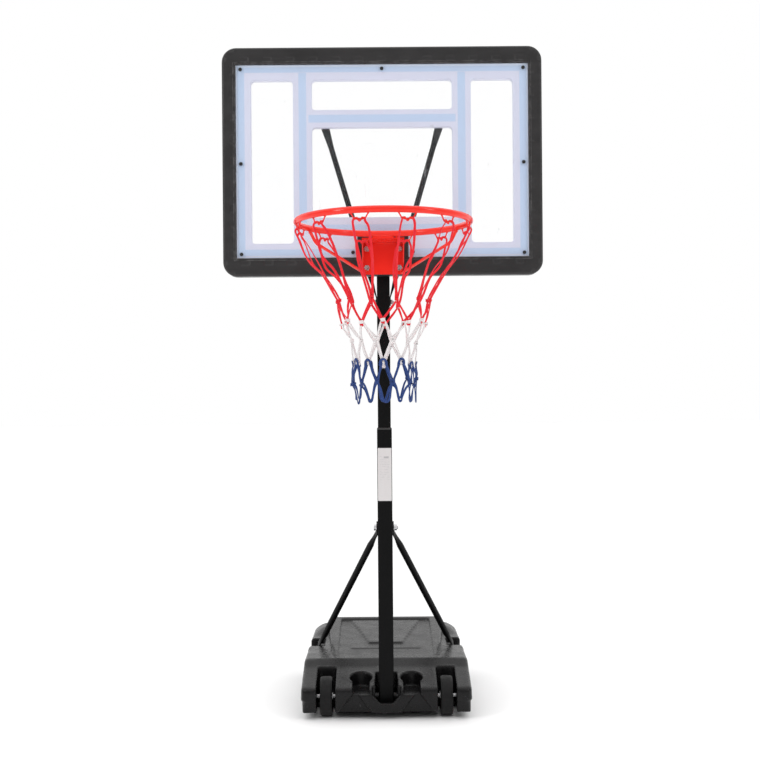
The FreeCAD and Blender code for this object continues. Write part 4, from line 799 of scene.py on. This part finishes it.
TAPE_WIDTH = 0.0056
TAPE_THICKNESS = 0.0023
TAPE_SIDES = 10
TAPE_STEP = 0.0013
HOOKS = 12
HOOK_PITCH = TURN / HOOKS
FIRST_HOOK = math.radians(15)


def net_point(angle, radius, drop, across=0.0):
    """A point of the net: drop below the ring's centre, across along the ring."""
    out = Vector((math.sin(angle), -math.cos(angle), 0))
    side = Vector((math.cos(angle), math.sin(angle), 0))
    return RING_CENTRE + out * radius + side * across - Vector((0, 0, drop))


def spline(points, step):
    """Points evenly spaced, step apart, on a smooth curve through the given ones."""
    dense = []
    ends = [2 * points[0] - points[1], *points, 2 * points[-1] - points[-2]]
    pieces = 24
    for before, a, b, after in zip(ends, ends[1:], ends[2:], ends[3:]):
        for i in range(pieces):
            t = i / pieces
            dense.append(
                0.5
                * (
                    2 * a
                    + (b - before) * t
                    + (2 * before - 5 * a + 4 * b - after) * t * t
                    + (3 * a - before - 3 * b + after) * t**3
                )
            )
    dense.append(points[-1])
    total = sum((b - a).length for a, b in zip(dense, dense[1:]))
    count = max(4, round(total / step))
    even = [dense[0]]
    gone, want = 0.0, total / count
    for a, b in zip(dense, dense[1:]):
        length = (b - a).length
        while length > 0 and gone + length >= want and len(even) < count:
            even.append(a.lerp(b, (want - gone) / length))
            want += total / count
        gone += length
    even.append(dense[-1])
    return even


class Tapes:
    """Several flat cords gathered in one mesh, each with its own length and width as UVs."""

    def __init__(self):
        self.mesh = bmesh.new()
        self.uv = self.mesh.loops.layers.uv.new("cord")

    def add(self, points, face, width=TAPE_WIDTH, thickness=TAPE_THICKNESS, swing=0.0):
        """A tape through the points. face(point) is the way its flat side looks."""
        line = spline(points, TAPE_STEP)
        phase = random.uniform(0, TURN)
        seed = random.uniform(0, 50)
        rings = []
        run = 0.0
        runs = []
        for i, point in enumerate(line):
            ahead = line[min(i + 1, len(line) - 1)] - line[max(i - 1, 0)]
            ahead.normalize()
            share = i / (len(line) - 1)
            flat = face(point)
            flat = (flat - ahead * flat.dot(ahead)).normalized()
            roll = swing * math.sin(phase + 5.0 * share)
            flat = Matrix.Rotation(roll, 3, ahead) @ flat
            side = ahead.cross(flat)
            swell = 1 + 0.10 * noise.noise(Vector((seed, 90 * run, 0)))
            plait = 1 + 0.07 * math.sin(TURN * run / 0.0038)
            ring = []
            for k in range(TAPE_SIDES):
                angle = TURN * k / TAPE_SIDES
                c, s = math.cos(angle), math.sin(angle)
                wide = math.copysign(abs(c) ** 0.75, c) * width / 2 * swell
                thick = math.copysign(abs(s) ** 0.85, s) * thickness / 2 * plait
                ring.append(self.mesh.verts.new(point + side * wide + flat * thick))
            rings.append(ring)
            runs.append(run)
            if i + 1 < len(line):
                run += (line[i + 1] - point).length
        for i, (near, far) in enumerate(zip(rings, rings[1:])):
            for k in range(TAPE_SIDES):
                following = (k + 1) % TAPE_SIDES
                quad = self.mesh.faces.new((near[k], near[following], far[following], far[k]))
                quad.smooth = True
                corners = (
                    (runs[i], k / TAPE_SIDES),
                    (runs[i], (k + 1) / TAPE_SIDES),
                    (runs[i + 1], (k + 1) / TAPE_SIDES),
                    (runs[i + 1], k / TAPE_SIDES),
                )
                for loop, place in zip(quad.loops, corners):
                    loop[self.uv].uv = place
        for ring, reverse in ((rings[0], True), (rings[-1], False)):
            cap = self.mesh.faces.new(list(reversed(ring)) if reverse else ring)
            cap.smooth = True

    def wrap(self, centre, radius, loops, width=0.0042):
        """A short upright coil of cord, as where strands are tied."""
        thickness = 0.0022
        pitch = 0.0032
        axis = Vector((0, 0, 1))
        first = axis.orthogonal().normalized()
        second = axis.cross(first)
        start = random.uniform(0, TURN)
        count = round(10 * loops)
        points = []
        for i in range(count + 1):
            turn = start + loops * TURN * i / count
            rise = pitch * loops * (i / count - 0.5)
            grow = radius * (1 + 0.08 * math.sin(3 * turn))
            points.append(
                centre
                + first * grow * math.cos(turn)
                + second * grow * math.sin(turn)
                + axis * rise
            )

        def away(point):
            return point - centre - axis * (point - centre).dot(axis)

        self.add(points, away, width, thickness)

    def finish(self, name, slot, node):
        mesh = bpy.data.meshes.new(name)
        bmesh.ops.recalc_face_normals(self.mesh, faces=self.mesh.faces)
        self.mesh.to_mesh(mesh)
        self.mesh.free()
        piece(name, mesh, slot, "upper_assembly", node)


def outward(point):
    away = point - RING_CENTRE
    return Vector((away.x, away.y, 0)).normalized()


class Knot:
    """A crossing of the net, moved a little from its even place."""

    def __init__(self, angle, radius, drop, slack):
        self.angle = angle + random.uniform(-1, 1) * slack * 0.045
        self.radius = radius * (1 + random.uniform(-1, 1) * 0.035 * slack)
        self.drop = drop + random.uniform(-1, 1) * 0.0055 * slack
        self.place = net_point(self.angle, self.radius, self.drop)

    def beside(self, across, drop=0.0, out=0.0):
        return net_point(self.angle, self.radius + out, self.drop + drop, across)


def knot_row(radius, drop, between, slack):
    shift = 0.5 if between else 0.0
    return [
        Knot(FIRST_HOOK + (i + shift) * HOOK_PITCH, radius, drop, slack) for i in range(HOOKS)
    ]


def sagged(start, end, belly):
    """Points from start to end that bow outward by belly."""
    points = [start]
    steps = 3
    for i in range(1, steps):
        share = i / steps
        middle = start.lerp(end, share)
        points.append(middle + outward(middle) * belly * math.sin(math.pi * share))
    points.append(end)
    return points


NOTCH_ACROSS = 0.011
NOTCH_DROP = RING_TUBE + 0.0100
NET_ROWS = (
    # radius, drop below the ring's centre, whether between the hooks, slack
    (0.109, 0.183, False, 1.0),
    (0.098, 0.229, True, 1.0),
    (0.077, 0.273, False, 1.0),
    (0.069, 0.320, True, 1.0),
    (0.074, 0.366, False, 1.7),
    (0.069, 0.409, True, 1.4),
)


def hang_from_hook(tapes, i, knot):
    """One length of cord over the two notches of a hook, its two legs down to a knot."""
    angle = FIRST_HOOK + i * HOOK_PITCH
    bows = [random.uniform(0.015, 0.022) for _ in range(2)]
    deeps = [random.uniform(0.045, 0.075) for _ in range(2)]

    def leg(side, bow, deep):
        half = NOTCH_ACROSS + 0.003
        below = 0.5 * (RING_RADIUS - 0.024 + knot.radius) + 0.003
        return [
            net_point(angle, RING_RADIUS + 0.0035, NOTCH_DROP + 0.0085, side * half),
            net_point(angle, RING_RADIUS - 0.004, NOTCH_DROP + 0.022, side * (bow * 0.94)),
            net_point(angle, RING_RADIUS - 0.024, NOTCH_DROP + deep, side * bow),
            net_point(angle, below, 0.118, side * bow * 0.62),
            knot.beside(side * 0.0045, -0.026, 0.0125),
            knot.beside(side * 0.002, -0.004),
        ]

    over = [
        net_point(angle, RING_RADIUS + 0.0012, NOTCH_DROP + 0.0016, -NOTCH_ACROSS - 0.0006),
        net_point(angle, RING_RADIUS - 0.0022, NOTCH_DROP + 0.0008, -NOTCH_ACROSS * 0.75),
        net_point(angle, RING_RADIUS - 0.0042, NOTCH_DROP + 0.0030, 0.0),
        net_point(angle, RING_RADIUS - 0.0022, NOTCH_DROP + 0.0008, NOTCH_ACROSS * 0.75),
        net_point(angle, RING_RADIUS + 0.0012, NOTCH_DROP + 0.0016, NOTCH_ACROSS + 0.0006),
    ]
    left = list(reversed(leg(-1, bows[0], deeps[0])))
    tapes.add(left + over + leg(1, bows[1], deeps[1]), outward, swing=0.7)


def meet_at(tapes, left, right, tie, rise, belly, tip):
    """Two strands, one from each knot above, that run side by side through the tie below."""
    for top, side in ((left, -1), (right, 1)):
        start = top.beside(side * -0.0015, 0.002)
        way = sagged(start, tie.beside(side * 0.0022, -rise), belly)
        way += [tie.beside(side * 0.0024, 0.005), tie.beside(0, tip)]
        tapes.add(way, outward, swing=0.5)


def part_from(tapes, top, lower):
    """Two strands that part at a knot and run to the two knots below it."""
    for below, side in zip(lower, (-1, 1)):
        start = top.beside(side * 0.003, 0.002)
        way = sagged(start, below.beside(side * -0.0018, -0.002), 0.002)
        tapes.add(way, outward, swing=0.6)


def cap_over(tapes, tie):
    """A short bend of cord hooked over a tie."""
    cap = [
        tie.beside(-0.0075, 0.013, 0.001),
        tie.beside(-0.0062, 0.002, 0.0022),
        tie.beside(0, -0.0022, 0.0034),
        tie.beside(0.0062, 0.002, 0.0022),
        tie.beside(0.0075, 0.013, 0.001),
    ]
    tapes.add(cap, outward)


def loop_below(tapes, left, right, low):
    """The net's hem: a loop that hangs from two knots."""
    start, end = left.beside(0.0015, 0.002), right.beside(-0.0015, 0.002)
    half = random.uniform(0.005, 0.0085)
    way = [
        start,
        start.lerp(low.beside(-half, -0.020), 0.55),
        low.beside(-half, -0.010),
        low.beside(-half * 0.55, -0.0018),
        low.beside(0, 0.0),
        low.beside(half * 0.55, -0.0018),
        low.beside(half, -0.010),
        end.lerp(low.beside(half, -0.020), 0.55),
        end,
    ]
    tapes.add(way, outward, swing=0.4)


def build_net():
    """Red, white and blue flat cord, knotted in rows that alternate between the hooks."""
    rows = [knot_row(*row) for row in NET_ROWS]
    red, white, blue = Tapes(), Tapes(), Tapes()
    for i in range(HOOKS):
        hang_from_hook(red, i, rows[0][i])
        red.wrap(rows[0][i].beside(0, -0.002), 0.0036, 1.6)
    for i in range(HOOKS):
        following = (i + 1) % HOOKS
        meet_at(red, rows[0][i], rows[0][following], rows[1][i], 0.002, 0.002, 0.0085)
    for upper, lower, tapes in ((rows[1], rows[2], white), (rows[3], rows[4], blue)):
        for i in range(HOOKS):
            part_from(tapes, upper[i], (lower[i], lower[(i + 1) % HOOKS]))
    for i in range(HOOKS):
        white.wrap(rows[1][i].beside(0, 0.0015), 0.0046, 1.4, 0.0046)
        white.wrap(rows[2][i].beside(0), 0.0036, 1.5)
        blue.wrap(rows[4][i].beside(0), 0.0038, 1.5)
    for i in range(HOOKS):
        following = (i + 1) % HOOKS
        meet_at(white, rows[2][i], rows[2][following], rows[3][i], 0.003, 0.0015, 0.009)
        cap_over(blue, rows[3][i])
    for i in range(HOOKS):
        loop_below(blue, rows[4][i], rows[4][(i + 1) % HOOKS], rows[5][i])
    red.finish("net_cord_red", "cord_red", "net_red")
    white.finish("net_cord_white", "cord_white", "net_white")
    blue.finish("net_cord_blue", "cord_blue", "net_blue")


build_net()


# -------------------------------------------------------------------------- weld beads


class Beads:
    """Weld beads: short runs of overlapping scallops, gathered in one mesh."""

    def __init__(self):
        self.mesh = bmesh.new()

    def run(self, points, radius):
        """A bead along the points, thin at its two ends."""
        scallop = 0.0026
        line = spline(points, 0.0007)
        sides = 8
        rings = []
        gone = 0.0
        for i, point in enumerate(line):
            ahead = (line[min(i + 1, len(line) - 1)] - line[max(i - 1, 0)]).normalized()
            first = ahead.orthogonal().normalized()
            second = ahead.cross(first)
            share = i / (len(line) - 1)
            taper = min(1.0, 6 * share + 0.25, 6 * (1 - share) + 0.25)
            ripple = 0.86 + 0.14 * abs(math.sin(math.pi * gone / scallop))
            size = radius * taper * ripple * (1 + 0.15 * noise.noise(point * 300))
            rings.append(
                [
                    self.mesh.verts.new(
                        point
                        + first * size * math.cos(TURN * k / sides)
                        + second * size * math.sin(TURN * k / sides)
                    )
                    for k in range(sides)
                ]
            )
            if i + 1 < len(line):
                gone += (line[i + 1] - point).length
        for near, far in zip(rings, rings[1:]):
            for k in range(sides):
                following = (k + 1) % sides
                quad = self.mesh.faces.new((near[k], near[following], far[following], far[k]))
                quad.smooth = True
        self.mesh.faces.new(list(reversed(rings[0])))
        self.mesh.faces.new(rings[-1])

    def round(self, centre, axis, radius, size):
        """A closed ring of bead about a rod, left open a hair where it starts."""
        axis = axis.normalized()
        first = axis.orthogonal().normalized()
        second = axis.cross(first)
        count = 14
        points = [
            centre
            + first * radius * math.cos(0.985 * TURN * i / count)
            + second * radius * math.sin(0.985 * TURN * i / count)
            for i in range(count + 1)
        ]
        self.run(points, size)

    def finish(self, name, slot, body):
        mesh = bpy.data.meshes.new(name)
        bmesh.ops.recalc_face_normals(self.mesh, faces=self.mesh.faces)
        self.mesh.to_mesh(mesh)
        self.mesh.free()
        piece(name, mesh, slot, body)


def weld_bracket(beads):
    """Two beads where the ring lies on the bracket's tongue."""
    under = RING_CENTRE.z - RING_TUBE
    tongue_half_width = 0.026
    for offset in (-0.0062, 0.0062):
        radius = RING_RADIUS + offset
        points = []
        for i in range(7):
            across = tongue_half_width * (i / 3 - 1) * 0.96
            back = math.sqrt(radius**2 - across**2)
            points.append(Vector((across, RING_CENTRE.y + back, under + 0.0014)))
        beads.run(points, 0.0022)


def weld_stay(beads, side):
    """A bead round the stay where it meets the ring, and one at its foot on the bracket."""
    angle = math.radians(27)
    way = Vector((side * math.cos(angle), math.sin(angle), 0))
    top = RING_CENTRE + way * (RING_RADIUS - 0.0048) + Vector((0, 0, -0.0072))
    run = Vector((-way.x * 0.020, -way.y * 0.020, -0.037))
    beads.round(top + run * 0.06, run, 0.0042, 0.0017)
    foot = Vector((side * 0.0468, board_low.y - 0.0062, 1.1312))
    beads.run(
        [
            foot + Vector((side * 0.0035, -0.001, 0.013)),
            foot + Vector((side * 0.0005, -0.0032, 0.007)),
            foot + Vector((-side * 0.0045, -0.0022, 0.0035)),
        ],
        0.0021,
    )


def weld_hook(beads, i):
    """Short beads on the two feet of a hook."""
    angle = FIRST_HOOK + i * HOOK_PITCH
    foot_across = 0.0188
    for side in (-1, 1):
        low = net_point(angle, RING_RADIUS - 0.0008, RING_TUBE + 0.0008, side * foot_across)
        middle = net_point(angle, RING_RADIUS, 0)
        along = net_point(angle, RING_RADIUS, 0, side * 0.01) - middle
        beads.run([low - along * 0.22, low, low + along * 0.22], 0.0020)


def build_welds():
    """Beads where the rim's steel parts are joined."""
    beads = Beads()
    weld_bracket(beads)
    for side in (-1, 1):
        weld_stay(beads, side)
    for i in range(HOOKS):
        weld_hook(beads, i)
    beads.finish("rim_welds", "red_paint", "upper_assembly")


build_welds()


# ------------------------------------------------------------------- stage and lights


def build_stage():
    bpy.ops.mesh.primitive_plane_add(size=60)
    floor = bpy.context.object
    floor.name = "floor"
    f = Finish("pale_floor", (0.93, 0.93, 0.93), 0.9, specular=0.1)
    f.put("Base Color", f.mix(f.noise(0.6, 3.0), (0.92, 0.92, 0.92), (0.94, 0.94, 0.94)))
    floor.data.materials.append(f.material)


def area_light(name, place, aim, size, radiance):
    light = bpy.data.lights.new(name, "AREA")
    light.shape = "RECTANGLE"
    light.size, light.size_y = size
    light.energy = radiance * math.pi * light.size * light.size_y
    lamp = bpy.data.objects.new(name, light)
    bpy.context.scene.collection.objects.link(lamp)
    lamp.location = place
    lamp.rotation_euler = (Vector(aim) - Vector(place)).to_track_quat("-Z", "Y").to_euler()


def build_lights():
    """Tall soft boxes at the sides, and a room that is bright above and behind the hoop."""
    area_light("strip_left", (-2.4, -1.9, 1.9), (0, 0, 1.0), (0.40, 1.7), 10.0)
    area_light("strip_right", (2.5, -1.8, 1.9), (0, 0, 1.0), (0.40, 1.7), 8.0)
    area_light("box_top", (0, -0.6, 3.6), (0, 0, 0.6), (1.2, 0.6), 1.8)
    world = bpy.data.worlds.new("studio")
    world.use_nodes = True
    bpy.context.scene.world = world
    nodes, links = world.node_tree.nodes, world.node_tree.links
    background = nodes["Background"]
    seen = nodes.new("ShaderNodeBackground")
    seen.inputs["Color"].default_value = (1.0, 1.0, 1.0, 1.0)
    place = nodes.new("ShaderNodeTexCoord")
    split = nodes.new("ShaderNodeSeparateXYZ")
    links.new(place.outputs["Generated"], split.inputs[0])

    def mapped(axis, start, end, low, high):
        node = nodes.new("ShaderNodeMapRange")
        for socket, number in zip(node.inputs[1:], (start, end, low, high)):
            socket.default_value = number
        links.new(split.outputs[axis], node.inputs[0])
        return node.outputs[0]

    blend = nodes.new("ShaderNodeMix")
    blend.data_type = "FLOAT"
    links.new(mapped("Z", 0.08, 0.85, 0.0, 1.0), blend.inputs["Factor"])
    links.new(mapped("Y", -0.2, 0.7, 0.16, 1.0), blend.inputs[2])
    blend.inputs[3].default_value = 1.35
    links.new(blend.outputs[0], background.inputs["Color"])
    path = nodes.new("ShaderNodeLightPath")
    choose = nodes.new("ShaderNodeMixShader")
    links.new(path.outputs["Is Camera Ray"], choose.inputs[0])
    links.new(background.outputs[0], choose.inputs[1])
    links.new(seen.outputs[0], choose.inputs[2])
    links.new(choose.outputs[0], nodes["World Output"].inputs["Surface"])


def build_camera():
    """Level and straight ahead, as far off as the photo's perspective asks."""
    camera = bpy.data.cameras.new("camera")
    camera.sensor_width = 36
    camera.lens = 56.84
    camera.shift_y = 0.0190
    eye = bpy.data.objects.new("camera", camera)
    bpy.context.scene.collection.objects.link(eye)
    aside, distance, height = -0.0105, 3.034, 0.824
    tilt = math.radians(-0.45)
    eye.location = (aside, board_low.y - distance, height)
    level = Matrix.Rotation(math.pi / 2, 3, "X")
    roll = Matrix.Rotation(tilt, 3, "Z")
    eye.rotation_euler = (level @ roll).to_euler()
    bpy.context.scene.camera = eye


build_stage()
build_lights()
build_camera()
bpy.context.scene.view_settings.view_transform = "Standard"
